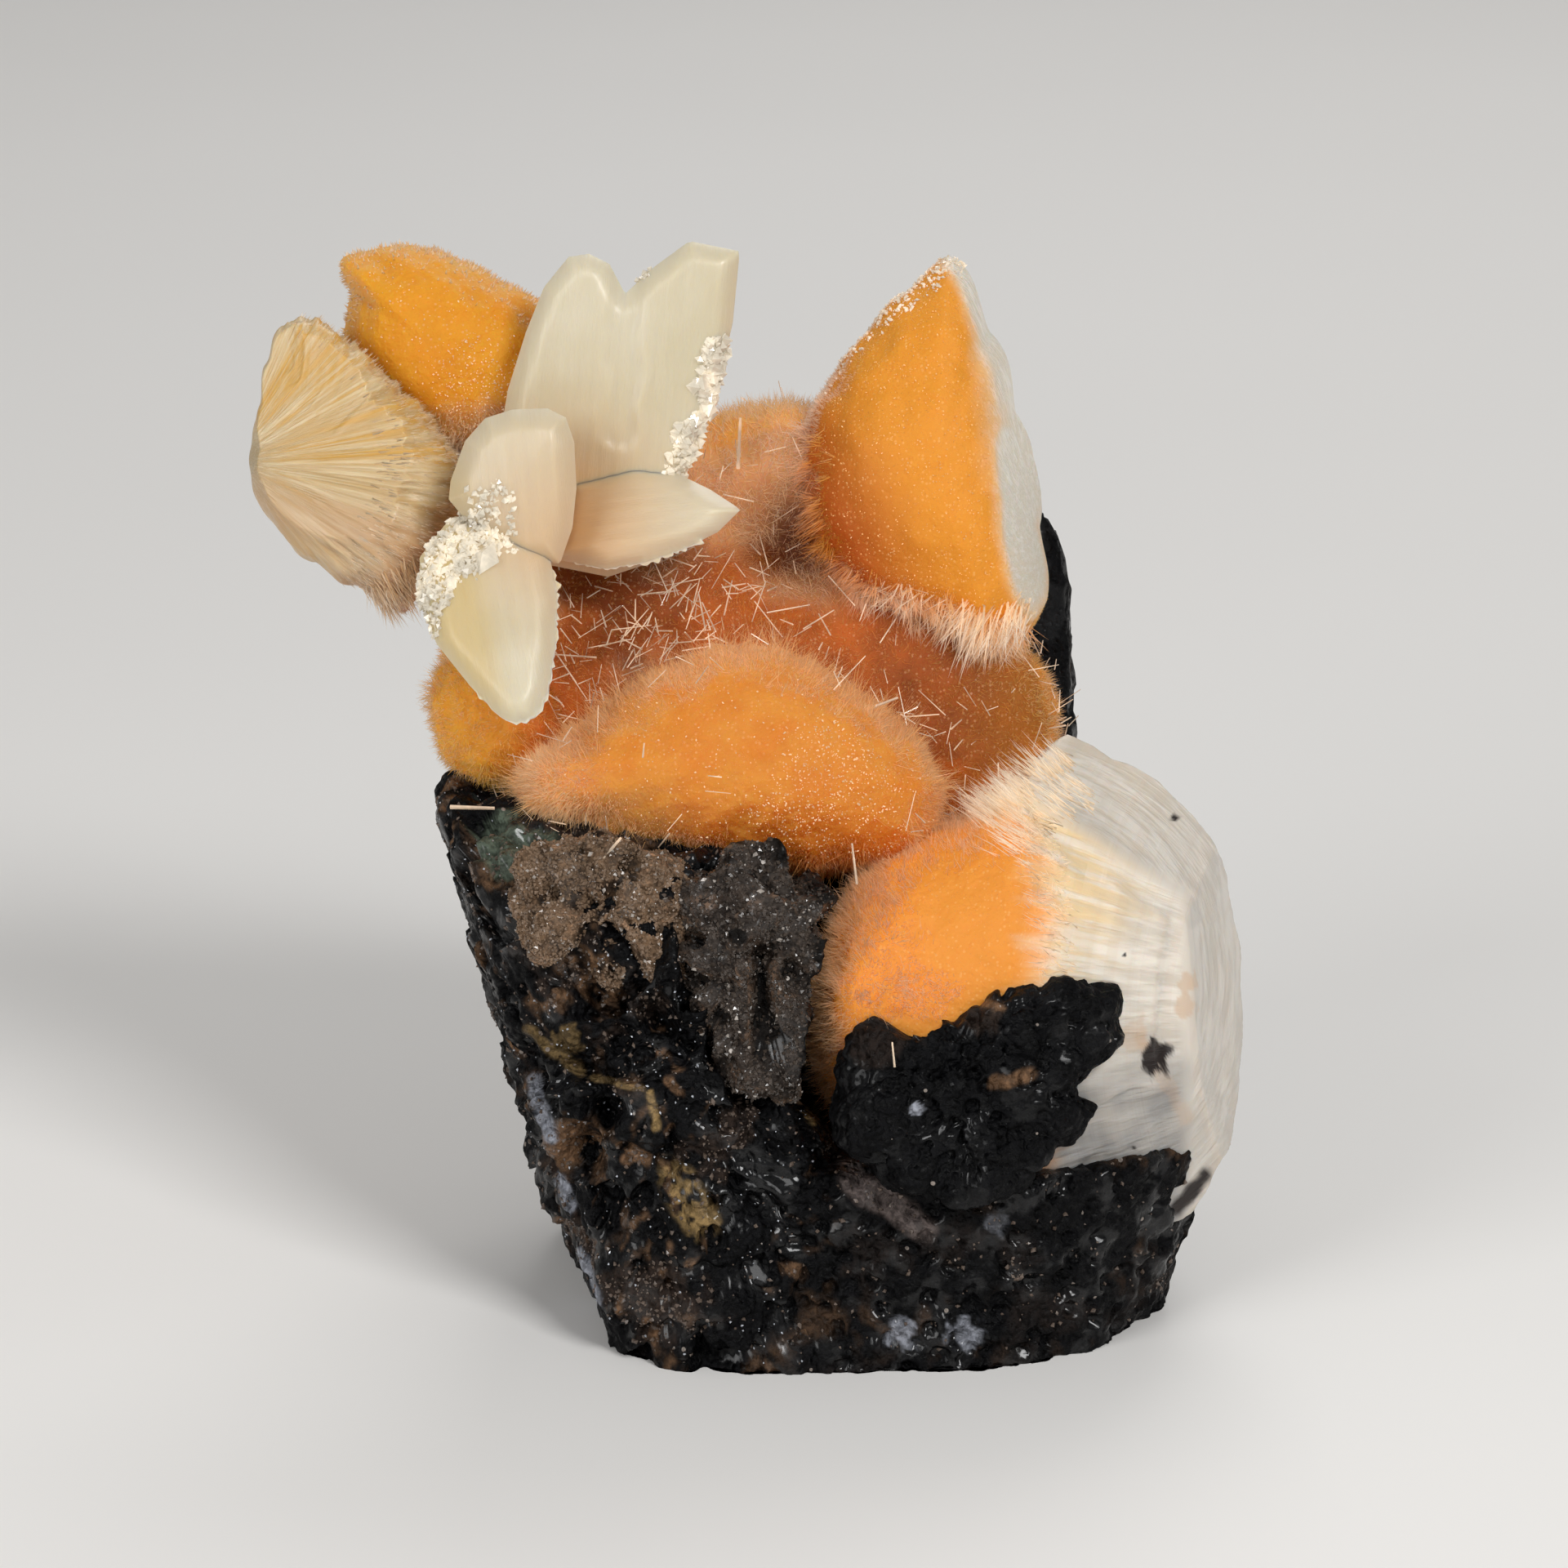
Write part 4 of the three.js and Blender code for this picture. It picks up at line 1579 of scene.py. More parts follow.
        seen = (1.0 - ease(pale, 0.1, 0.6)) * (facing > -0.4) * hidden_in(points, (CENTRE_DOME,))
        west = (1 - ease(facing, 0.1, 0.6)) * (1 - ease(across, -2.5, 1.0)) * (1 - ease(up, 46, 49))
        longer = 0.15 + 0.05 * edge + 0.5 * fringe + 0.25 * west
        front = self.fur(surface, seen, self.right_needles, longer, 0.065, 0.35)
        clumps = 0.06 + ease(noise(points, 0.9, 32), 0.0, 0.3)
        loose = np.maximum(fringe * (facing < 0.8), 0.35 * west * (up < 45))
        down = -0.35 * UP + 0.2 * OUT
        tufts = self.fur(surface, seen * loose * clumps, self.right_tufts, 1.35, 0.07, 0.25, down, 1.5)
        bright = seen * ease(facing, 0.2, 0.8)
        self.grains("upper_right_grains", surface, bright, self.right_grains, 0.12, 0.028, 0xFCC684)
        frost = streak(points, (4.3, 53.0), (1.0, 50.4), 1.6)
        frost = frost + 0.4 * streak(points, (1.0, 50.4), (-2.6, 46.4), 1.0)
        frost = frost * (np.abs(facing) < 0.6)
        self.grains("upper_right_frost", surface, frost, self.right_grains, 0.06, 0.11, 0xF4E4CC)
        grown = [sheaf.grow(surface, self.rng) for sheaf in self.sheaves]
        look = Fur("upper right needles", 0xDA9024, 0xE2A034, 0xF6C080, 0xFFEED0, 0xAC5406, passing=0.9)
        self.hand_in(front, "upper_right_needles", look, Slot.THOMSONITE)
        look = Fur("upper right fringe", 0xE89A34, 0xF0B04E, 0xFFCE90, 0xFFF4DE, 0xD87618, passing=0.95)
        self.hand_in(merged([tufts, *grown]), "upper_right_fringe", look, Slot.THOMSONITE)

    def build(self) -> None:
        """Builds the three balls."""
        self.dome()
        self.upper_left()
        self.upper_right()


@dataclass
class LowerBall(Specimen):
    """The large ball at the lower right: an orange cap and pale broken faces with fibres and bands.

    A stain has its place, its radius and how ragged its edge is.
    """

    start: Place = (33.0, 15.5, 3.0)
    swell: float = 3.5
    cap_needles: int = 26000
    fringe_needles: int = 2800
    shaggy_needles: int = 2600
    stains: tuple[tuple[Spot, float, float], ...] = (
        ((14.0, 14.0), 0.75, 0.8),
        ((15.2, 25.6), 0.2, 0.6),
        ((12.4, 19.0), 0.1, 0.3),
        ((13.0, 9.6), 0.1, 0.3),
    )
    sheaves: tuple[Sheaf, ...] = (
        Sheaf((5.8, 25.5), (9.6, 28.2), (-0.76, 0.6, 0.3), 420, 2.0, 0.11, 0.1, 1.2),
        Sheaf((7.0, 24.6), (10.2, 26.6), (-0.8, 0.55, 0.16), 260, 1.7, 0.09, 0.08, 2.0),
        Sheaf((8.2, 24.5), (8.8, 18.6), (-0.9, 0.3, 0.3), 460, 0.9, 0.06, 0.2, 2.2),
    )

    def grain(self, points: Places) -> dict[str, Values]:
        """The fibres' marks, "layers" along the ball's edge, "side" outside the ridge, and "calm" on it.

        Args:
            points: points of the part's frame.

        Returns:
            The marks by name.
        """
        marks = fibre_marks(points, self.start, 0.25)
        place = face_places(points)
        slant = (place[:, :2] - (6.8, 27.3)) @ np.array([0.526, 0.85])
        ridge = np.maximum(slant, place[:, 0] - 15.6)
        arm = place[:, :2] - (7.2, 17.7)
        far, turn = np.linalg.norm(arm, axis=1), np.arctan2(arm[:, 1], arm[:, 0])
        layers = np.column_stack([0.65 * far, 0.6 * turn, 0.15 * place[:, 2]])
        calm = 1 - ease(np.abs(ridge), 0.1, 0.6)
        return {**marks, "layers": layers, "side": ease(ridge, -0.6, 0.6), "calm": calm}

    def wave(self, points: Places) -> Values:
        """Relief of the broken faces: fibres from the start, steps of growth round it, and gentle waves.

        Args:
            points: points of the part's frame.

        Returns:
            A height in mm for each.
        """
        marks = self.grain(points)
        steps = noise(np.outer(marks["bands"], (1.0, 0.0, 0.0)), 1.1, 8)
        strands = 0.03 * noise(marks["fibre"], 0.12, 1) + 0.18 * noise(marks["fibre"], 0.4, 2) + 0.08 * steps
        growth = 0.22 * noise(marks["layers"], 0.9, 4) + 0.06 * noise(marks["layers"], 0.35, 6) - 0.22
        side = marks["side"]
        return (1 - side) * strands + side * growth + 0.3 * noise(points, 3.0, 12)

    def build(self) -> None:
        """Builds the ball's ground, the needles on its cap and the sheaf on its upper edge."""
        surface = LOWER_BALL.surface(104, skin(0.3), self.wave)
        bulge = bell(surface.points, (-1.4, 18.4), (2.7, 5.0))
        surface.points += self.swell * bulge[:, None] * OUT
        points, normals, over = surface.points, surface.normals(), surface.marks["over"]
        across, up, _ = face_places(points).T
        fibre = self.grain(points)
        side, layers = fibre.pop("side"), fibre.pop("layers")
        strand = noise(fibre["fibre"], 0.3, 9) + 0.6 * noise(fibre["fibre"], 0.1, 10)
        fibre["fibre"] = np.where(side[:, None] > 0.5, layers, fibre["fibre"])
        ragged = 0.5 * noise(points, 1.6, 6) + 0.9 * strand
        east = ease(across + 0.35 * np.maximum(up - 23, 0) + ragged, 6.8, 9.8)
        pale = np.clip(np.maximum(ease(over + 0.5 * ragged, 0.4, 1.6) * (across > 6), east), 0, 1)
        flank = 1 - ease(across + 0.8 * noise(points, 1.3, 21), 0.2, 3.4)
        # Painted shade where the ball faces down, except on its left flank
        deep = 0.6 * ease(-(normals @ UP), 0.3, 0.9) * (1 - flank)
        north = ease(up + 0.2 * (across - 6) + 0.4 * strand, 24.4, 26.6) * (across > 1)
        low = 1 - ease(up + 0.9 * noise(points, 2.0, 7), 12.0, 16.5)
        low = low * np.clip(0.85 + 0.4 * noise(points, 1.6, 17), 0.5, 1.0)
        # Painted shadow: a grey band along the ridge, on the side beyond it
        ridge_shadow = 0.45 * streak(points, (10.0, 26.2), (16.0, 20.8), 1.6)
        ridge = 0.5 * blot(points, (15.7, 17.6), 0.5, 0.5, 2) + 0.5 * blot(points, (15.5, 16.4), 0.6, 0.5, 3)
        rust = 0.25 * streak(points, (13.2, 15.0), (15.6, 11.0), 0.8)
        rust = rust + 0.3 * blot(points, (12.8, 15.2), 0.9, 0.6, 5)
        stains = [blot(points, at, size, uneven, 7) for at, size, uneven in self.stains]
        marks = {
            **fibre,
            "deep": deep,
            "cap": (1.0 - pale) * (1 - 0.8 * north),
            "warm": (1.0 - ease(across + 1.2 * strand - 0.5 * (up - 20), 9.0, 14.0)) * (1 - 0.8 * side),
            # cool: grey towards the bottom and on the faces beyond the ridge, with the painted shadow along
            # the ridge
            "cool": most(0.9 * low * (1 - 0.6 * side), 0.3 * side, ridge_shadow * side),
            "shade": np.clip(ridge + rust, 0, 1),
            "stain": most(*stains, streak(points, (15.2, 6.4), (16.6, 8.0), 0.9)),
        }
        look = Pearl("lower ball orange and pearl", cool=0x8E8C8A)
        ground = Surface(points, surface.faces, marks)
        self.hand_in(ground, "lower_ball_ground", look, Slot.BROKEN, "thomsonite_lower_right_ball")

        facing = normals @ OUT
        rim = (1.0 - ease(facing, 0.3, 0.8)) * (up > 14)
        soft = np.clip(0.3 * rim * (across > 1) + 0.8 * north + 0.85 * ease(pale, 0.02, 0.45), 0, 1)
        patch = blot(points, (2.8, 17.3), 1.5, 0.9, 3)
        seen = (1.0 - ease(pale, 0.3, 0.8)) * (facing > -0.3) * hidden_in(points, (CENTRE_DOME, FLAKE))
        bare = Surface(points, surface.faces, {"rim": most(soft, 0.45 * patch, 0.2 * flank), "deep": deep})
        longer = 0.14 + 0.18 * rim + 0.25 * patch + 0.22 * flank
        front = self.fur(bare, seen * (1 + patch + 0.6 * flank), self.cap_needles, longer, 0.065, 0.35)
        clumps = seen * (0.15 + ease(noise(points, 0.8, 33), -0.1, 0.4))
        top = clumps * rim * (1 - north)
        fringe = self.fur(bare, top, self.fringe_needles, 0.9, 0.045, 0.4, 0.3 * UP)
        shaggy = self.fur(bare, clumps * flank, self.shaggy_needles, 1.15, 0.055, 0.35, 0.5 * OUT, 1.3)
        grown = [sheaf.grow(bare, self.rng) for sheaf in self.sheaves]
        look = Fur("lower ball needles", 0xDA8A2C, 0xE6A650, 0xFAC888, 0xFFEED0, 0xD8761A, passing=0.95)
        self.hand_in(front, "lower_ball_needles", look, Slot.BROKEN)
        look = Fur("lower ball fringe", 0xE08E34, 0xEEAE60, 0xF4D2A0, 0xFFF6E4, 0xDC7A1C, passing=0.95)
        self.hand_in(merged([fringe, shaggy, *grown]), "lower_ball_fringe", look, Slot.BROKEN)


@dataclass
class Fan(Specimen):
    """The broken ball at the far left: fibres that spread from its left edge to a ragged right edge."""

    start: Place = (-31.0, 43.0, 1.0)
    reach: float = 0.95
    ends: int = 3000
    hem: Sheaf = Sheaf((-24.2, 36.3), (-22.2, 37.6), (0.5, -0.9, 0.15), 420, 1.7, 0.1, 0.16)

    def wave(self, points: Places) -> Values:
        """Relief of the broken face: broad folds that follow the fibres, deeper the farther they run.

        Args:
            points: points of the part's frame.

        Returns:
            A height in mm for each.
        """
        marks = fibre_marks(points, self.start, 0.3)
        grow = ease(marks["bands"], 0.5, 8.0)
        folds = 0.5 * noise(marks["fibre"], 2.6, 3) + 0.14 * np.abs(noise(marks["fibre"], 1.3, 4))
        return grow * (folds + 0.04 * noise(marks["fibre"], 0.3, 5)) - 0.1

    def ragged(self, points: Places) -> Values:
        """Relief of the ball: its edge steps in and out from one bundle of fibres to the next.

        Args:
            points: points of the part's frame.

        Returns:
            A height in mm for each.
        """
        marks = fibre_marks(points, self.start, 0.3)
        far = ease(marks["bands"], 5.0, 8.0)
        steps = 0.3 * noise(marks["fibre"], 0.5, 6) + 0.3 * noise(marks["fibre"], 1.9, 9)
        return velvet(points) + far * steps - 0.2

    def build(self) -> None:
        """Builds the fan and the loose ends of its fibres."""
        surface = LEFT_FAN.surface(100, self.ragged, self.wave)
        bulge = bell(surface.points, (-20.8, 41.8), (1.3, 2.1))
        surface.points += self.reach * bulge[:, None] * ACROSS
        points = surface.points
        across, up, _ = face_places(points).T
        marks = surface.marks = fibre_marks(points, self.start, 0.3)
        strand = noise(marks["fibre"], 0.45, 14)
        tail = 1.0 - ease(up - 0.3 * (across + 26), 35.5, 38.0)
        upper = ease(up + 1.2 * strand, 40.6, 44.0)
        warm = 0.35 + 0.6 * ease(noise(marks["fibre"], 1.2, 13) + 0.4 * strand, -0.2, 0.35)
        marks["warm"] = warm * (0.25 + 0.75 * upper) * ease(marks["bands"], 0.5, 3.5)
        inner = 1 - ease(np.abs(up + 0.25 * (across + 28) - 40.6), 0.3, 2.0)
        low = 1 - ease(up + 0.5 * strand, 37.0, 41.0)
        marks["shade"] = np.clip(0.35 * inner + 0.7 * tail + 0.3 * low, 0, 1)
        look = Pearl(
            "fan fibres", 0xC0A67C, 0xD6C29C, 0xD0A252, 0xD6DCE6, 0xB88A68, banded=0.0, fine=1.3,
            relief=0.00004,
        )
        self.hand_in(surface, "left_fan_body", look, Slot.BROKEN, "thomsonite_left_fan")

        edge = ease(marks["bands"], 7.0, 9.2) * (surface.normals() @ OUT > -0.2)
        arms = unit(points - on_face(self.start))
        bare = Surface(points, surface.faces, {"rim": 1.0 - 0.6 * tail, "arm": arms})
        seats = seats_on(bare, edge, self.ends, self.rng)
        ways = unit(seats.marks["arm"] + 0.08 * self.rng.normal(size=seats.points.shape))
        lengths, widths = self.rng.uniform(0.4, 0.8, self.ends), self.rng.uniform(0.06, 0.15, self.ends)
        made = needles(seats.points - 0.4 * ways, ways, lengths, widths, self.rng)
        made.marks["rim"] = np.repeat(seats.marks["rim"], 4)
        made.marks["pick"] = np.repeat(self.rng.random(self.ends), 4)
        hem = self.hem.grow(bare, self.rng)
        hem.marks["rim"] = 0.35 * hem.marks["rim"]
        look = Fur("fan fibre ends", 0xC88C4C, 0xDCB47C, 0xDCBA88, 0xF0DEBC)
        self.hand_in(merged([made, hem]), "left_fan_ends", look, Slot.BROKEN)


@dataclass
class Hollow(Specimen):
    """The reddish-brown lining between the balls, the knob at its left edge, and the loose needles on it.

    The named needles are those that stand out in the photograph: place, way, length and width.
    """

    dish: Place = (-3.2, 40.0, -1.0)
    needles: int = 33500
    loose: int = 490
    named: tuple[tuple[Place, Place, float, float], ...] = (
        ((-6.2, 44.0, -1.0), (0.05, 1.0, 0.35), 2.6, 0.14),
        ((-19.2, 26.1, 1.3), (1.0, -0.03, 0.1), 2.2, 0.15),
        ((-0.6, 23.4, 4.1), (-0.12, 1.0, 0.1), 2.0, 0.11),
        ((-12.2, 24.2, 7.5), (0.6, 0.7, 0.1), 1.3, 0.11),
        ((6.5, 27.5, 0.6), (-0.05, 1.0, 0.4), 1.7, 0.1),
        ((0.9, 31.2, 1.9), (0.9, 0.35, 0.1), 1.4, 0.12),
        ((1.2, 14.4, 9.2), (-0.1, 1.0, 0.1), 1.2, 0.1),
    )

    def relief(self, points: Places) -> Values:
        """The lining's waves, with the dark hollow in it."""
        far = np.linalg.norm(points - on_face(self.dish), axis=1)
        return velvet(points) + 0.3 * noise(points, 2.0, 8) - 3.6 * np.exp(-(far**2) / 14) - 0.5

    def build(self) -> None:
        """Builds the lining, its fur and the loose rods."""
        main = LINING.surface(86, self.relief)
        knob = LEFT_KNOB.surface(40, lambda p: velvet(p) + 0.5 * knobs(p, 1.1, 3) - 0.4)
        surface = merged([main, knob])
        points, normals, marks = surface.points, surface.normals(), surface.marks
        across, up, _ = face_places(points).T
        # Painted shade in the dip of the hollow
        hollow_shade = bell(points, (-3.0, 39.4), (2.3, 2.6))
        saddle = ease(up, 42.0, 45.0)
        pale = blot(points, (-3.4, 43.4), 2.0, 0.6, 6)
        left = 1.0 - ease(across, -19.0, -15.5)
        tan = ease(noise(points, 4.0, 21) + 0.25 * (up - 37) / 4, -0.1, 0.5) * ease(-across, -2, 4)
        marks["rim"] = most(0.3 * saddle, 0.8 * tan, 0.9 * pale)
        # Painted shade in two more patches on the lining
        shady = 0.45 * blot(points, (-12.0, 36.5), 3.0, 0.6, 4), 0.4 * blot(points, (5.4, 31.8), 3.6, 0.6, 5)
        marks["deep"] = most(hollow_shade, *shady)
        marks["warm"] = most(left, 0.4 * ease(across, 3, 9), saddle * (1 - pale))
        look = Velvet("lining red brown", 0x5E240A, 0xC0661E, 0xE0B07C, 0xE8A030, 0.0008)
        self.hand_in(surface, "lining_ground", look, Slot.DEEP, "thomsonite_lining")

        covers = (CENTRE_DOME, LOWER_BALL, UPPER_RIGHT, UPPER_LEFT)
        weight = (normals @ OUT > -0.3) * hidden_in(points, covers) * (0.6 + 0.4 * (1 - marks["deep"]))
        fur = self.fur(surface, weight, self.needles, 0.55 + 0.6 * marks["rim"], 0.05, 0.5, None, 1.2)
        look = Fur(
            "lining needles", 0xCC7222, 0xE89A40, 0xECBC7C, 0xFFEAC8, 0x742A08, 0xF4BA3C, passing=0.9,
            gloss=0.06,
        )
        self.hand_in(fur, "lining_needles", look, Slot.DEEP)
        self.scatter(surface, weight)

    def scatter(self, surface: Surface, weight: Values) -> None:
        """Drops clear rods on the lining and the dome, and lays the named ones.

        Args:
            surface: the lining.
            weight: where it is in the open.
        """
        dome = CENTRE_DOME.surface(40, velvet)
        facing = dome.normals() @ OUT
        _, up, _ = face_places(dome.points).T
        edge = (1 - ease(facing, 0.5, 0.9)) + 0.12
        front = edge * (facing > -0.1) * (up > 24) * (1 - blot(dome.points, (0.2, 24.6), 1.8))
        inner = ease(face_places(surface.points)[:, 0], -19.0, -16.5)
        thick = weight * inner * (0.2 + 1.2 * blot(surface.points, (-10.5, 35.0), 4.5, 0.5, 3))
        seats = [
            seats_on(surface, thick, self.loose, self.rng),
            seats_on(dome, front, self.loose // 7, self.rng),
        ]
        lifts = [self.rng.uniform(0.15, 0.8, len(s.points))[:, None] for s in seats]
        feet = np.concatenate([s.points + lift * s.normals for s, lift in zip(seats, lifts)])
        normals = np.concatenate([s.normals for s in seats])
        ways = unit(self.rng.normal(size=feet.shape) + 0.3 * normals + 0.4 * UP)
        lengths = 0.7 + 1.7 * self.rng.random(len(feet)) ** 2
        widths = self.rng.uniform(0.03, 0.065, len(feet))
        places, towards, longs, wides = zip(*self.named)
        feet = np.concatenate([feet, on_face(places)])
        ways = np.concatenate([ways, face_direction(towards)])
        made = rods(feet, ways, np.append(lengths, longs), np.append(widths, wides), self.rng)
        self.hand_in(made, "loose_needles", Glassy("clear needles", 0xFCE6CC, 0.35, 0.1, 0.8), Slot.DEEP)


@dataclass(frozen=True)
class Blade:
    """A calcite crystal: an outline of (across, up) corners on the show face, domed to both sides.

    It rises out of the face by slope for each mm across and up. Its edges slope over the width of bevel,
    and they step in and out by teeth between two angles round its middle. A crease is a line on its front.
    """

    middle: Place
    corners: tuple[Spot, ...]
    slope: Spot
    front: float
    back: float
    bevel: float
    grain: float
    teeth: Place = (0.0, 0.0, 0.0)
    crease: tuple[Spot, Spot] | None = None

    def reach(self, angle: Values) -> Values:
        """How far the outline is from the middle: where a ray at the angle crosses its side.

        Args:
            angle: angles in radians.

        Returns:
            The distance at each, in mm.
        """
        corner = np.array(self.corners) - self.middle[:2]
        turn = np.arctan2(corner[:, 1], corner[:, 0])
        order = np.argsort(turn)
        corner, turn = corner[order], turn[order]
        i = np.searchsorted(turn, angle, side="right") - 1
        first, second = corner[i], corner[(i + 1) % len(corner)]
        side = second - first
        way = np.stack([np.cos(angle), np.sin(angle)], axis=1)
        return (first[:, 0] * side[:, 1] - first[:, 1] * side[:, 0]) / (
            way[:, 0] * side[:, 1] - way[:, 1] * side[:, 0])

    def inside(self, place: Places) -> Values:
        """The distance of places from the nearest side of the outline.

        Args:
            place: places on the crystal's flat, measured from its middle.

        Returns:
            A distance in mm for each.
        """
        corner = np.array(self.corners) - self.middle[:2]
        after = np.roll(corner, -1, axis=0)
        side = after - corner
        away = place[:, None, :] - corner
        share = np.clip(np.einsum("nkj,kj->nk", away, side) / np.einsum("kj,kj->k", side, side), 0, 1)
        return np.linalg.norm(away - share[:, :, None] * side, axis=2).min(axis=1)

    def surface(self, count: int, core: Places) -> Surface:
        """The crystal on a ball grid: each ray's flat share reaches across the outline.

        Args:
            count: squares along the grid's edge.
            core: where the cluster is rooted, in the part's frame.

        Returns:
            The surface with the marks root, edge and line; edge is where the painted highlight goes, along
            the bevels.
        """
        rays, squares = ball_grid(count)
        angle = np.arctan2(rays[:, 1], rays[:, 0])
        share = np.hypot(rays[:, 0], rays[:, 1])
        reach = self.reach(angle)
        low, high, height = self.teeth
        toothed = ((np.degrees(angle) - low) % 360 < (high - low) % 360) * (high != low)
        turn = np.stack([np.cos(angle), np.sin(angle)], axis=1)
        rim = reach[:, None] * turn
        step = np.abs(noise(np.column_stack([rim, 0 * angle]), 0.42, 3))
        flat = (share * reach + share**8 * toothed * height * step)[:, None] * turn
        depth = np.minimum(self.inside(flat) / self.bevel, 1.0) * (share < 0.9999)
        swell = 0.62 * (1 - (1 - depth) ** 2) + 0.38 * (1 - share**2)
        place = np.column_stack([flat, 0 * angle]) + self.middle
        rise = np.where(rays[:, 2] > 0, self.front, -self.back) * swell
        tilt = math.radians(self.grain)
        ahead = flat @ np.array([math.cos(tilt), math.sin(tilt)])
        beside = flat @ np.array([-math.sin(tilt), math.cos(tilt)])
        line = np.column_stack([4 * beside, 0.25 * ahead, 0 * ahead])
        rise = rise + swell * (0.05 * noise(line, 2.0, 4) + 0.08 * noise(place, 2.5, 5))
        if self.crease:
            rise = rise - 0.16 * swell * streak(on_face(place), *self.crease, 1.8)
        place[:, 2] += flat @ np.array(self.slope) + rise
        points = on_face(place)
        far = np.linalg.norm(points - core, axis=1)
        # edge: where the painted highlight goes, along the bevels
        marks = {"root": np.exp(-((far / 4.8) ** 2)), "edge": (1 - depth) ** 2, "line": line}
        return Surface(points, squares, marks)


@dataclass
class Cluster(Specimen):
    """The calcite: a joined pair of blades and three more from one root, and sugary patches.

    A patch has the number of its blade, its place, radius, count and size of crystal.
    """

    core: Place = (-15.0, 39.6, 2.0)
    pair: Blade = Blade(
        (-12.3, 45.0, 0.8),
        ((-15.6, 38.0), (-12.6, 37.4), (-10.2, 38.2), (-9.0, 42.1), (-8.2, 44.1), (-7.4, 46.5), (-6.9, 48.1),
         (-6.5, 49.7), (-6.15, 53.2), (-8.6, 53.7), (-10.4, 52.4), (-11.75, 51.15), (-12.5, 52.6),
         (-13.5, 53.1), (-14.5, 52.95), (-15.7, 51.5), (-16.6, 49.3), (-17.5, 46.5), (-17.9, 44.1),
         (-17.4, 40.5)),
        (0.03, 0.1), 1.2, 2.0, 1.1, 85.0, (0.0, 0.0, 0.0), ((-11.75, 52.6), (-11.9, 44.5)),
    )
    side: Blade = Blade(
        (-10.8, 40.4, 1.7),
        ((-15.2, 38.2), (-12.6, 37.7), (-10.8, 38.0), (-8.8, 38.7), (-7.2, 39.5), (-6.1, 40.6), (-7.6, 41.6),
         (-9.2, 42.4), (-11.4, 43.1), (-14.6, 42.2)),
        (0.12, -0.32), 1.2, 2.2, 1.0, 8.0, (215.0, 335.0, 0.4),
    )
    stub: Blade = Blade(
        (-17.0, 41.8, 4.6),
        ((-16.8, 37.9), (-14.8, 37.9), (-14.2, 39.6), (-14.0, 41.5), (-14.1, 43.7), (-14.5, 44.9),
         (-15.4, 45.35), (-17.1, 45.3), (-18.4, 44.9), (-19.4, 43.8), (-20.1, 41.9), (-20.2, 41.0),
         (-19.2, 39.8)),
        (0.12, 0.08), 1.4, 3.4, 1.2, 95.0,
    )
    hanging: Blade = Blade(
        (-18.2, 36.6, 5.0),
        ((-16.9, 30.2), (-15.9, 30.4), (-15.3, 31.6), (-15.0, 33.7), (-14.9, 36.1), (-15.3, 38.3),
         (-16.4, 39.8), (-18.4, 40.4), (-20.4, 39.8), (-21.6, 38.2), (-21.5, 36.1), (-20.7, 34.0),
         (-19.0, 31.9), (-17.5, 30.4)),
        (0.05, -0.36), 1.2, 2.2, 1.0, 102.0, (265.0, 380.0, 0.42),
    )

    patches: tuple[tuple[int, Spot, float, int, float], ...] = (
        (3, (-18.8, 39.2), 1.9, 620, 0.2),
        (3, (-20.2, 38.2), 1.3, 260, 0.2),
        (3, (-21.2, 36.6), 1.3, 320, 0.22),
        (3, (-21.0, 35.0), 0.7, 90, 0.18),
        (2, (-18.2, 40.2), 1.4, 260, 0.2),
        (0, (-7.0, 48.2), 1.1, 160, 0.26),
        (0, (-7.2, 46.2), 1.3, 220, 0.36),
        (0, (-8.0, 44.2), 1.2, 170, 0.34),
        (0, (-9.0, 42.8), 0.8, 80, 0.24),
        (0, (-10.8, 52.2), 0.4, 24, 0.16),
    )

    def build(self) -> None:
        """Builds the crystals and the sugary patches."""
        core = on_face(self.core)
        blades = ((self.pair, 64), (self.side, 44), (self.stub, 44), (self.hanging, 44))
        parts = [blade.surface(count, core) for blade, count in blades]
        whole = merged(parts)
        across, up, _ = face_places(whole.points).T
        whole.marks["honey"] = 0.6 * (1 - ease(across + 0.2 * (up - 40), -20.2, -18.2))
        self.hand_in(whole, "calcite_crystals", Calcite("milky calcite"), Slot.CALCITE, "calcite_cluster")
        self.sugar(parts)

    def sugar(self, parts: list[Surface]) -> None:
        """Small clear crystals on the shoulder of the hanging blade and on the right of the tall one.

        Args:
            parts: the blades' surfaces: pair, side, stub and hanging.
        """
        groups = []
        for number, at, radius, count, size in self.patches:
            part = parts[number]
            weight = blot(part.points, at, radius, 0.5, 2) * (part.normals() @ OUT > -0.5)
            seats = seats_on(part, weight + 1e-9, count, self.rng)
            lift = self.rng.uniform(-0.15, 0.12, count)[:, None]
            sizes = size * self.rng.uniform(0.35, 1.2, count)
            groups.append(crystals(seats.points + lift * seats.normals, sizes, self.rng, 1.3))
        bright = on_face([(-18.3, 38.1, 5.8), (-20.0, 37.0, 5.8), (-7.6, 45.6, 1.3)])
        groups.append(crystals(bright, np.array([0.7, 0.42, 0.42]), self.rng, 1.3))
        look = Glassy("clear calcite grains", 0xF6ECD8, 0.1, 0.08, 0.65)
        self.hand_in(merged(groups), "calcite_sugar", look, Slot.CALCITE)


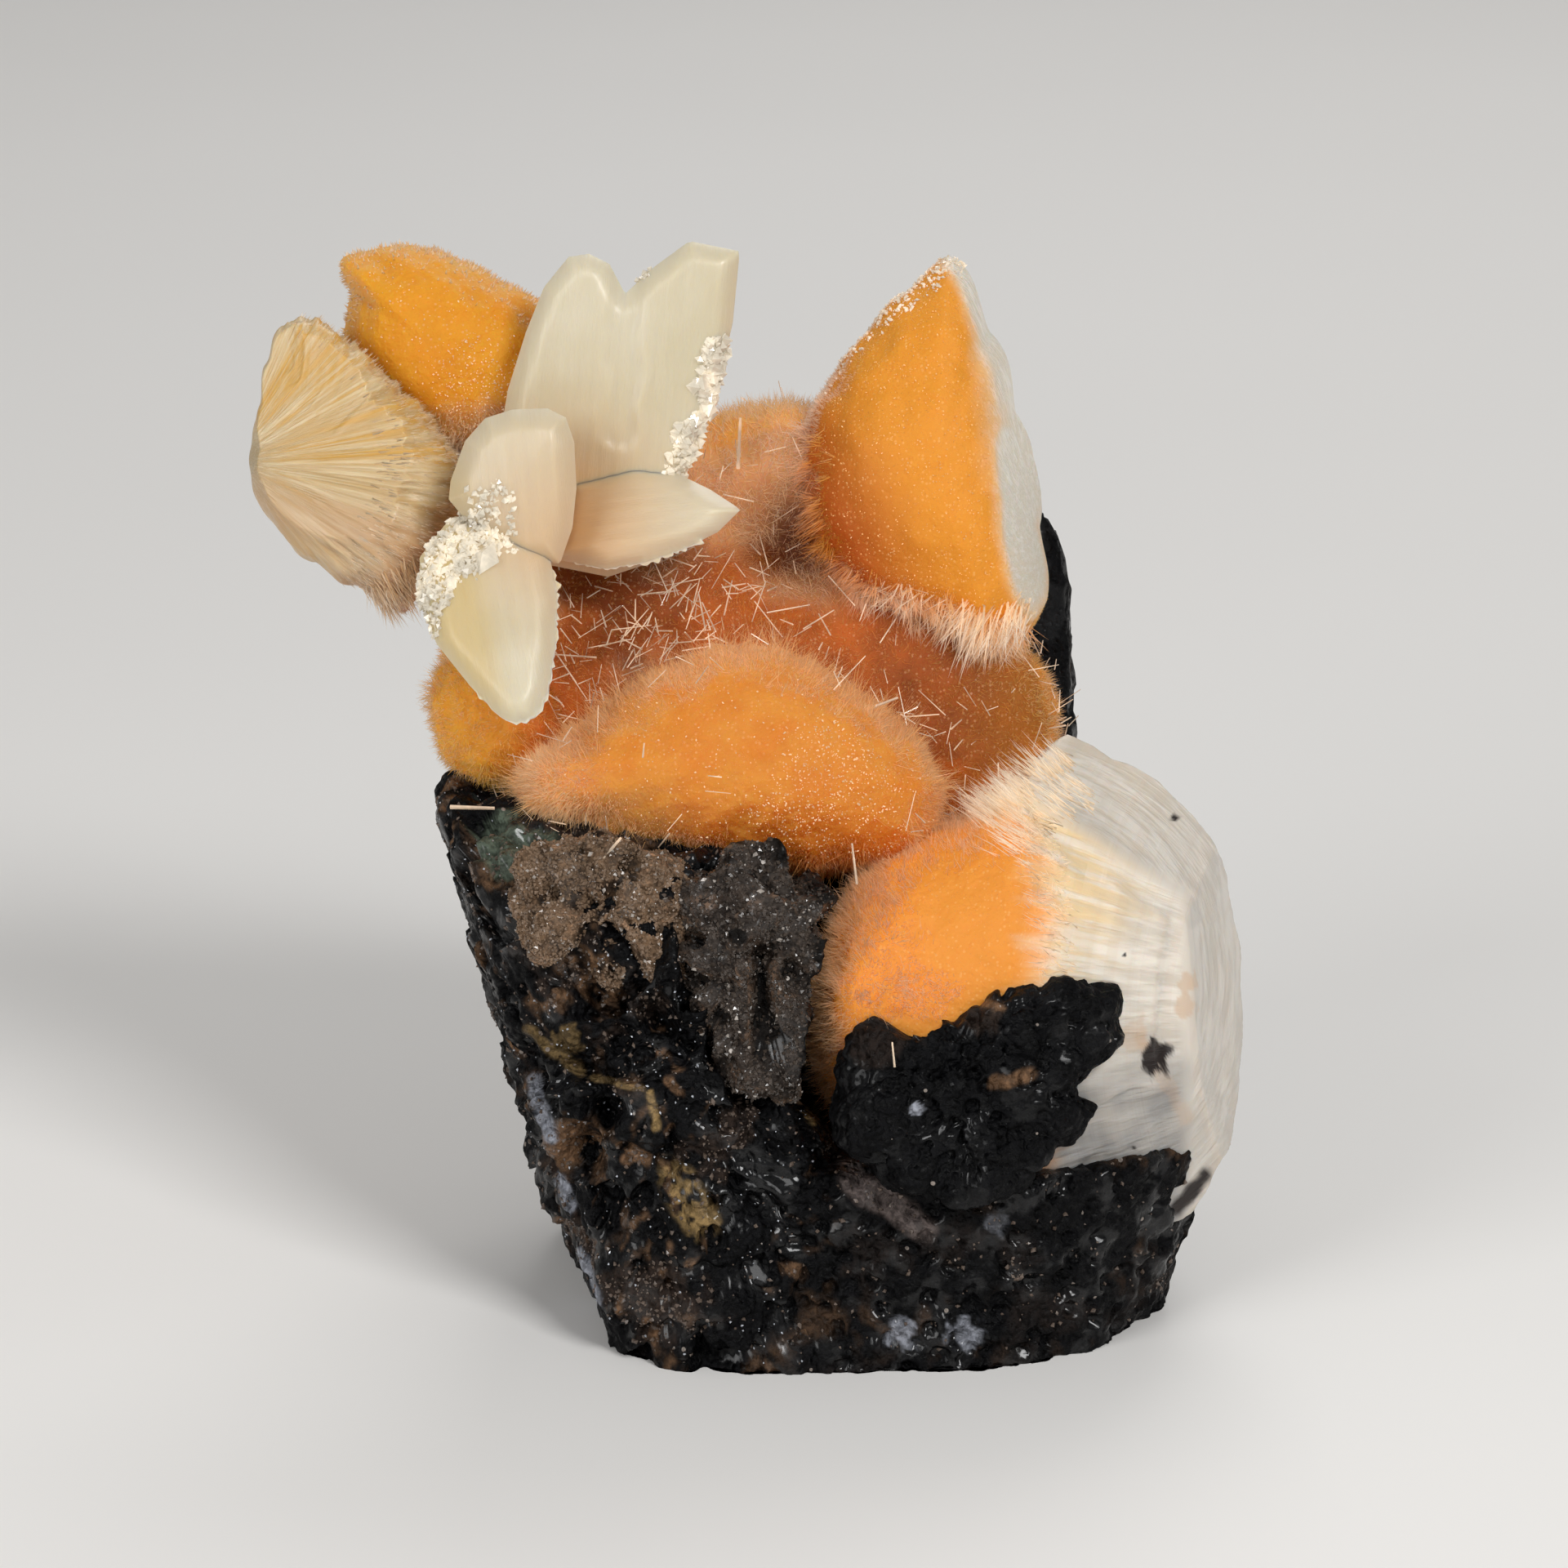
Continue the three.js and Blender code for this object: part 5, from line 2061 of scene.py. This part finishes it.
@dataclass
class Matrix(Specimen):
    """The basalt: the block on the left, the foot under the lower ball, the wall behind, and the flake."""

    block: Rock = Rock(
        (-9.5, -1, 12),
        ((-0.947, -0.18, -0.268, 7.0), (0.05, -0.99, 0.12, 9.6), (-0.62, -0.78, -0.05, 8.8),
         (0, -0.2, 0.98, 12.6), (1, 0, 0.1, 8.2), (0.1, 1, 0, 12.5), (0, 0, -1, 14), (-0.6, 0.8, 0, 11.8)),
        13.0,
    )
    foot: Rock = Rock(
        (1.6, 0.2, 3.6),
        ((0, -1, 0.06, 11.4), (0.5, -0.86, -0.1, 12.6), (0.87, -0.5, -0.25, 13.4), (1, 0.05, -0.2, 13.6),
         (0.8, 0.6, 0, 14.6), (0, 1, 0, 13.6), (-1, 0, 0, 13.6), (0, 0, 1, 6), (0, 0, -1, 6),
         (-0.7, -0.7, -0.1, 12.8)),
    )
    wall: Rock = Rock(
        (-4, 11, 22),
        ((0.03, 1, -0.07, 6.6), (0, -0.961, 0.276, 3.6), (1, 0, 0, 14.7), (0.97, 0, 0.25, 17.2),
         (-1, 0.1, 0, 15), (-0.95, 0.1, -0.27, 13.2), (0.165, 0, 1, 17), (-0.6, 0.7, 0.1, 16.5),
         (0.7, 0.7, 0.2, 14.6), (0, 0, -1, 24)),
    )
    coats: tuple[tuple[str, int], ...] = (
        ("brown", 0x2A211C), ("tan", 0x755840), ("green", 0x4C5549), ("yellow", 0x947A50),
        ("white", 0x8C8F98),
    )
    beds: tuple[tuple[Spot, float], ...] = (((-12.6, 21.0), 3.6), ((-5.2, 19.6), 3.8), ((-4.6, 15.4), 3.2))
    block_grains: int = 3600
    foot_grains: int = 700
    glints: int = 800

    def cavities(self, points: Places) -> Values:
        """Relief of the block: ledges, large and small cavities, and crumbs.

        The ledges are knobs of three sizes on gentle waves.

        Args:
            points: points of the part's frame.

        Returns:
            A height in mm for each.
        """
        ledges = 0.8 * noise(points, 6, 1) + knobs(points, 2.6, 4) + knobs(points, 1.05, 7)
        holes = 1.9 * hollows(points, 3.3, 0.4, 3) + 0.7 * hollows(points, 1.3, 0.45, 9)
        beds = [blot(points, at, size, 0.3, 2) for at, size in self.beds]
        bed = 1.5 * most(*beds) + 0.9 * blot(points, (-11.8, 15.2), 2.8, 0.5, 6)
        crack = 2.4 * streak(points, (-8.7, 21.6), (-8.3, 16.8), 1.3)
        across, up, _ = face_places(points).T
        side = ease(across, -4.2, -1.2) * (1.6 + 2.0 * ease(up, 9.5, 12.0))
        detail = 0.6 * knobs(points, 0.5, 13) + 0.2 * rough(points, 0.9, 3, 15)
        shoulder = 2.2 * blot(points, (-2.4, 23.4), 2.0, 0.25, 8)
        return ledges + detail - holes - most(bed, crack, side, shoulder) - 0.2

    def pores(self, points: Places) -> Values:
        """Relief of the finer rock: gentle ledges, many small pores and crumbs."""
        ledges = 0.7 * noise(points, 6, 1) + 0.5 * knobs(points, 2.4, 4) + 0.6 * knobs(points, 0.9, 7)
        return ledges - 0.4 * hollows(points, 0.9, 0.45, 12) + 0.2 * rough(points, 0.8, 3, 19)

    def marks(self, surface: Surface, richness: float) -> None:
        """Works out where the coats of other minerals lie.

        Args:
            surface: a surface of the rock; its marks are filled in.
            richness: how much of it is coated, of 0 to 1.
        """
        points, marks = surface.points, surface.marks
        across, _, out = face_places(points).T
        floor = hollows(points, 3.3, 0.4, 3)
        edge = 4 * floor * (1 - floor)
        drift = rough(points, 5.0, 3, 40)
        left = 1 - ease(across, -6.0, 0.0)
        marks["brown"] = richness * ease(drift + 0.4 * noise(points, 0.8, 41), 0.25, 0.6) * (1 - floor)
        seam = ease(noise(points, 0.9, 44) - 0.5 * knobs(points, 2.6, 4), -0.05, 0.3) * (0.35 + 0.65 * left)
        seam = richness * np.maximum(0.9 * edge, 0.8 * seam) * ease(rough(points, 4.0, 2, 43), -0.1, 0.3)
        band = streak(points, (-0.8, 8.4), (2.6, 6.0), 1.5)
        marks["tan"] = np.maximum(seam, 0.4 * band)
        ahead = ease(out, -5.0, -2.0)
        marks["green"] = ahead * most(
            blot(points, (-17.4, 24.4), 1.5, 0.6, 1),
            blot(points, (-15.9, 24.0), 1.0, 0.6, 2),
            0.8 * blot(points, (-6.0, 14.2), 0.9, 0.6, 3),
            0.6 * blot(points, (-14.6, 21.6), 0.6, 0.5, 4),
        )
        marks["yellow"] = ahead * most(
            0.7 * streak(points, (-9.4, 8.3), (-8.0, 6.4), 2.0) * ease(noise(points, 0.5, 45), -0.3, 0.0),
            0.8 * streak(points, (-10.4, 12.4), (-10.1, 10.8), 0.45),
            0.3 * blot(points, (-14.6, 14.9), 0.8, 0.9, 7),
            0.8 * blot(points, (-2.6, 11.2), 0.4, 0.4, 8),
            0.4 * streak(points, (-16.4, 15.4), (-13.8, 13.4), 0.6),
            0.4 * streak(points, (-13.2, 13.1), (-10.8, 12.7), 0.35),
        )
        white = most(
            0.75 * most(blot(points, (1.6, 0.8), 0.8, 0.6, 9), blot(points, (4.8, 0.7), 0.8, 0.6, 9)),
            0.2 * band,
            0.25 * blot(points, (6.2, 6.2), 0.6, 0.8, 11),
            streak(points, (-16.3, 12.6), (-15.3, 10.2), 0.8),
            streak(points, (-14.9, 8.0), (-14.5, 6.6), 0.8),
            streak(points, (-13.9, 4.2), (-13.2, 2.2), 0.8),
        )
        marks["white"] = white * (out > -6)

    def build(self) -> None:
        """Builds the three rocks and the flake, with tiny crystals on the rock's front."""
        look = Stone("vesicular basalt", 0x020203, 0x09090B, self.coats)
        grown = []
        for name, rock, count, relief, richness, lean in (
            ("block", self.block, 127, self.cavities, 1.0, 0.4),
            ("foot", self.foot, 90, self.pores, 0.3, 0.35),
            ("wall", self.wall, 50, self.pores, 0.25, 0.0),
        ):
            surface = rock.surface(count, relief, lean * OUT)
            self.marks(surface, richness)
            self.hand_in(surface, "basalt_" + name, look, Slot.BASALT, "basalt_matrix")
            grown.append(surface)
        self.sparkle(grown[0], grown[1])
        self.flake()

    def sparkle(self, block: Surface, foot: Surface) -> None:
        """Tiny glassy crystals on the front of the rock, thicker where it is coated, and bright ones, which
        are painted highlights.

        Args:
            block: the block's surface.
            foot: the foot's surface.
        """
        groups = []
        for surface, count in ((block, self.block_grains), (foot, self.foot_grains)):
            coat = 0.12 + surface.marks["brown"] + surface.marks["tan"]
            weight = coat * (surface.normals() @ OUT > 0.1) * (surface.points[:, 2] > 0.8)
            seats = seats_on(surface, weight, count, self.rng)
            sizes = 0.05 + 0.1 * self.rng.random(count) ** 3
            groups.append(crystals(seats.points, sizes, self.rng))
        smoky = Glassy("smoky grains", 0x5E5046, dull=0.35)
        self.hand_in(merged(groups), "basalt_grains", smoky, Slot.BASALT)
        # Painted highlights: pale grains on the front of the block stand in for its glints
        front = (block.normals() @ OUT > 0.1) * (block.points[:, 2] > 0.8)
        seats = seats_on(block, front, self.glints, self.rng)
        made = crystals(seats.points, self.rng.uniform(0.03, 0.075, self.glints), self.rng)
        self.hand_in(made, "basalt_glints", Glassy("bright grains", 0xB8BCC4, dull=0.1), Slot.BASALT)

    @staticmethod
    def chipped(points: Places) -> Values:
        """Relief of the flake: lumps, pores and crumbs, two notches in its edge and a lower corner.

        Args:
            points: points of the part's frame.

        Returns:
            A height in mm for each.
        """
        lumps = 0.5 * noise(points, 3.0, 3) + 1.1 * knobs(points, 1.7, 8) + 0.6 * knobs(points, 0.7, 5)
        pores = 0.5 * hollows(points, 0.9, 0.4, 61)
        notch = 1.3 * blot(points, (12.4, 12.4), 2.2, 0.3, 2) + 1.6 * blot(points, (4.2, 17.4), 0.9, 0.4, 3)
        low = 1.3 * blot(points, (2.2, 16.8), 1.8, 0.3, 4)
        return lumps - pores + 0.15 * rough(points, 0.8, 3, 62) - np.maximum(notch, low) - 0.35

    def flake(self) -> None:
        """The dark flake on the lower ball, with a few stains."""
        surface = FLAKE.surface(88, self.chipped)
        points, marks = surface.points, surface.marks
        crumbs = blot(points, (5.5, 16.2), 1.0, 0.4, 3)
        marks["brown"] = np.maximum(0.6 * blot(points, (0.6, 15.2), 1.6, 0.8, 2), crumbs)
        rust = 0.8 * streak(points, (6.0, 13.0), (7.6, 13.4), 0.7)
        marks["tan"] = np.maximum(rust, 0.8 * streak(points, (4.4, 17.0), (6.4, 16.6), 0.4))
        marks["white"] = blot(points, (2.3, 11.8), 0.35, 0.4, 5)
        look = Stone("flake basalt", 0x020203, 0x08080A, self.coats, speck_share=0.008, sheen=0.28)
        self.hand_in(surface, "basalt_flake_piece", look, Slot.BASALT, "basalt_flake")


@dataclass(frozen=True)
class Plate:
    """A plate of crust: its name, its shape, the colours of its ground and its grains, and its grooves."""

    name: str
    lump: Lump
    dark: int
    light: int
    coats: tuple[tuple[str, int], ...]
    brown: int
    grooves: tuple[tuple[Spot, Spot, float], ...]

    def relief(self, points: Places) -> Values:
        """Lobes, grains and pits, with the plate's grooves.

        Args:
            points: points of the part's frame.

        Returns:
            A height in mm for each.
        """
        lobes = 1.1 * noise(points, 2.0, 3) + 1.4 * knobs(points, 1.5, 8) + 0.9 * knobs(points, 0.6, 5)
        cut = most(*(streak(points, start, end, width) for start, end, width in self.grooves))
        pits = 1.3 * hollows(points, 1.4, 0.4, 23)
        return lobes + 0.1 * noise(points, 0.3, 5) - 1.9 * cut - pits


@dataclass
class Crusts(Specimen):
    """Two plates of grey-brown crust on the front of the block, thick with tiny crystals."""

    # The coat named dark is painted shade, laid in each plate's pits and grooves
    plates: tuple[Plate, ...] = (
        Plate(
            "left", CRUST_LEFT, 0x4A3A2C, 0x745C46, (("tan", 0xA8866A), ("dark", 0x0C0908)), 0x7A6450,
            (((-14.2, 18.6), (-13.4, 20.0), 1.2), ((-11.0, 18.0), (-11.6, 19.4), 1.0)),
        ),
        Plate(
            "right", CRUST_RIGHT, 0x26201C, 0x403934, (("tan", 0x7A6250), ("dark", 0x0A0807)), 0x443B34,
            (((-2.4, 18.0), (-3.0, 13.4), 0.9), ((-5.2, 19.2), (-4.8, 14.4), 1.3),
             ((-1.5, 20.6), (-2.5, 12.5), 1.3), ((-3.9, 24.3), (-1.4, 21.8), 1.7)),
        ),
    )
    grains: int = 5060
    glints: int = 140

    def build(self) -> None:
        """Builds both plates."""
        for plate in self.plates:
            self.grow(plate)

    def grow(self, plate: Plate) -> None:
        """Builds a plate and its crystals: dull grains, and a few bright ones among them, which are painted
        highlights.

        Args:
            plate: the plate.
        """
        surface = plate.lump.surface(66, plate.relief)
        points, marks = surface.points, surface.marks
        facing = surface.normals() @ OUT
        height = plate.relief(points)
        turned = 1 - ease(np.abs(facing - 0.45), 0.1, 0.45)
        rusty = np.maximum(0.9 * turned, 0.8 * ease(height, 0.7, 1.7))
        marks["tan"] = rusty * ease(noise(points, 1.6, 3), -0.3, 0.3)
        # Painted shade: dark where the relief is low, in the pits and grooves
        marks["dark"] = 0.9 * (1 - ease(height, -0.9, 0.3))
        name = "sparkling crust " + plate.name
        look = Stone(name, plate.dark, plate.light, plate.coats, 5200.0, 0.45, 0xC8C0B8, 0.03)
        self.hand_in(surface, "crust_" + plate.name, look, Slot.CRUST, "quartz_crust_" + plate.name)
        count = self.grains + self.glints
        seats = seats_on(surface, (facing > 0.0) * (1 - 0.8 * marks["dark"]), count, self.rng)
        sizes = 0.05 + 0.09 * self.rng.random(count) ** 2
        dull = Glassy("crust grains " + plate.name, plate.brown, dull=0.2)
        # Painted highlights: the bright grains are pale, standing in for glints
        bright = Glassy("crust glints " + plate.name, 0xA8A098, dull=0.1)
        for look, some in ((dull, slice(self.grains)), (bright, slice(self.grains, count))):
            made = crystals(seats.points[some], sizes[some], self.rng)
            self.hand_in(made, look.name.replace(" ", "_"), look, Slot.CRUST)


@dataclass
class Studio:
    """The camera, a pale floor that curves up behind, and soft lights."""

    target: Place = (-4.0, 0.0, 26.2)
    distance: float = 300.0
    focal: float = 140.6
    floor_tones: tuple[int, int] = (0xECEAE7, 0xF0EEEB)
    lamps: tuple[tuple[str, Place, float, float], ...] = (
        ("key", (230.0, -380.0, 380.0), 170.0, 1.85),
        ("left", (-330.0, -360.0, 240.0), 260.0, 1.05),
        ("back", (80.0, 420.0, 420.0), 300.0, 0.8),
    )

    def camera(self) -> None:
        """Sets the camera at the photograph's angle, square to the show face."""
        data = bpy.data.cameras.new("camera")
        data.lens = self.focal
        data.sensor_width = 36.0
        data.clip_start = 0.01
        camera = bpy.data.objects.new("camera", data)
        camera.location = (np.array(self.target) + self.distance * OUT) * MM
        camera.rotation_euler = (math.pi / 2 - FACE_LEAN, 0.0, 0.0)
        bpy.context.collection.objects.link(camera)
        bpy.context.scene.camera = camera

    def floor(self, effects: Effects) -> None:
        """Lays the floor: a flat stretch, a quarter circle and a wall, carried sideways.

        Args:
            effects: the shared node groups.
        """
        bend = np.linspace(0, math.pi / 2, 24)
        flat, radius, height, half = 900.0, 500.0, 900.0, 2200.0
        depth = np.concatenate([[-1500.0], flat + radius * np.sin(bend), [flat + radius]])
        rise = np.concatenate([[0.0], radius - radius * np.cos(bend), [radius + height]])
        sides = [np.stack([np.full_like(depth, x), depth, rise], axis=1) for x in (-half, half)]
        points = np.concatenate(sides)
        n = len(depth)
        i = np.arange(n - 1)
        surface = Surface(points, np.stack([i, i + n, i + n + 1, i + 1], axis=1))
        floor = surface.build("floor")
        finish = Finish("pale floor", effects, Roughness=0.6, Specular_IOR_Level=0.3)
        finish.colour(finish.mix(finish.mottle(3.0, 0.3, 0.7), *self.floor_tones))
        floor.data.materials.append(finish.material)

    def lamp(self, name: str, place: Place, size: float, power: float) -> None:
        """Hangs a square soft light that looks at the middle of the specimen.

        Args:
            name: the light's name.
            place: where it hangs, in mm.
            size: its edge in mm.
            power: its power in watts.
        """
        data = bpy.data.lights.new(name, "AREA")
        data.size = size * MM
        data.energy = power
        lamp = bpy.data.objects.new(name, data)
        away = unit(np.array(place) - np.array(self.target))
        lamp.location = np.array(place) * MM
        turn = math.atan2(away[0], -away[1])
        lamp.rotation_euler = (math.acos(away[2]), 0.0, turn)
        bpy.context.collection.objects.link(lamp)

    def build(self, effects: Effects) -> None:
        """Builds the whole studio.

        Args:
            effects: the shared node groups.
        """
        self.camera()
        self.floor(effects)
        for lamp in self.lamps:
            self.lamp(*lamp)
        world = bpy.data.worlds.new("soft room")
        world.use_nodes = True
        ground = world.node_tree.nodes["Background"]
        ground.inputs["Color"].default_value = (1.0, 1.0, 1.0, 1.0)
        ground.inputs["Strength"].default_value = 0.26
        bpy.context.scene.world = world
        bpy.context.scene.view_settings.view_transform = "Standard"


def main() -> None:
    """Builds the studio and the specimen."""
    logging.basicConfig(level=logging.INFO, format="%(name)s: %(message)s")
    effects = Effects()
    Studio().build(effects)
    for seed, assembly in enumerate((Balls, LowerBall, Fan, Hollow, Cluster, Matrix, Crusts)):
        assembly(effects, np.random.default_rng(seed)).build()
        LOG.info("%s: done", assembly.__name__)
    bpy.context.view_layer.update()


if __name__ == "__main__":
    main()
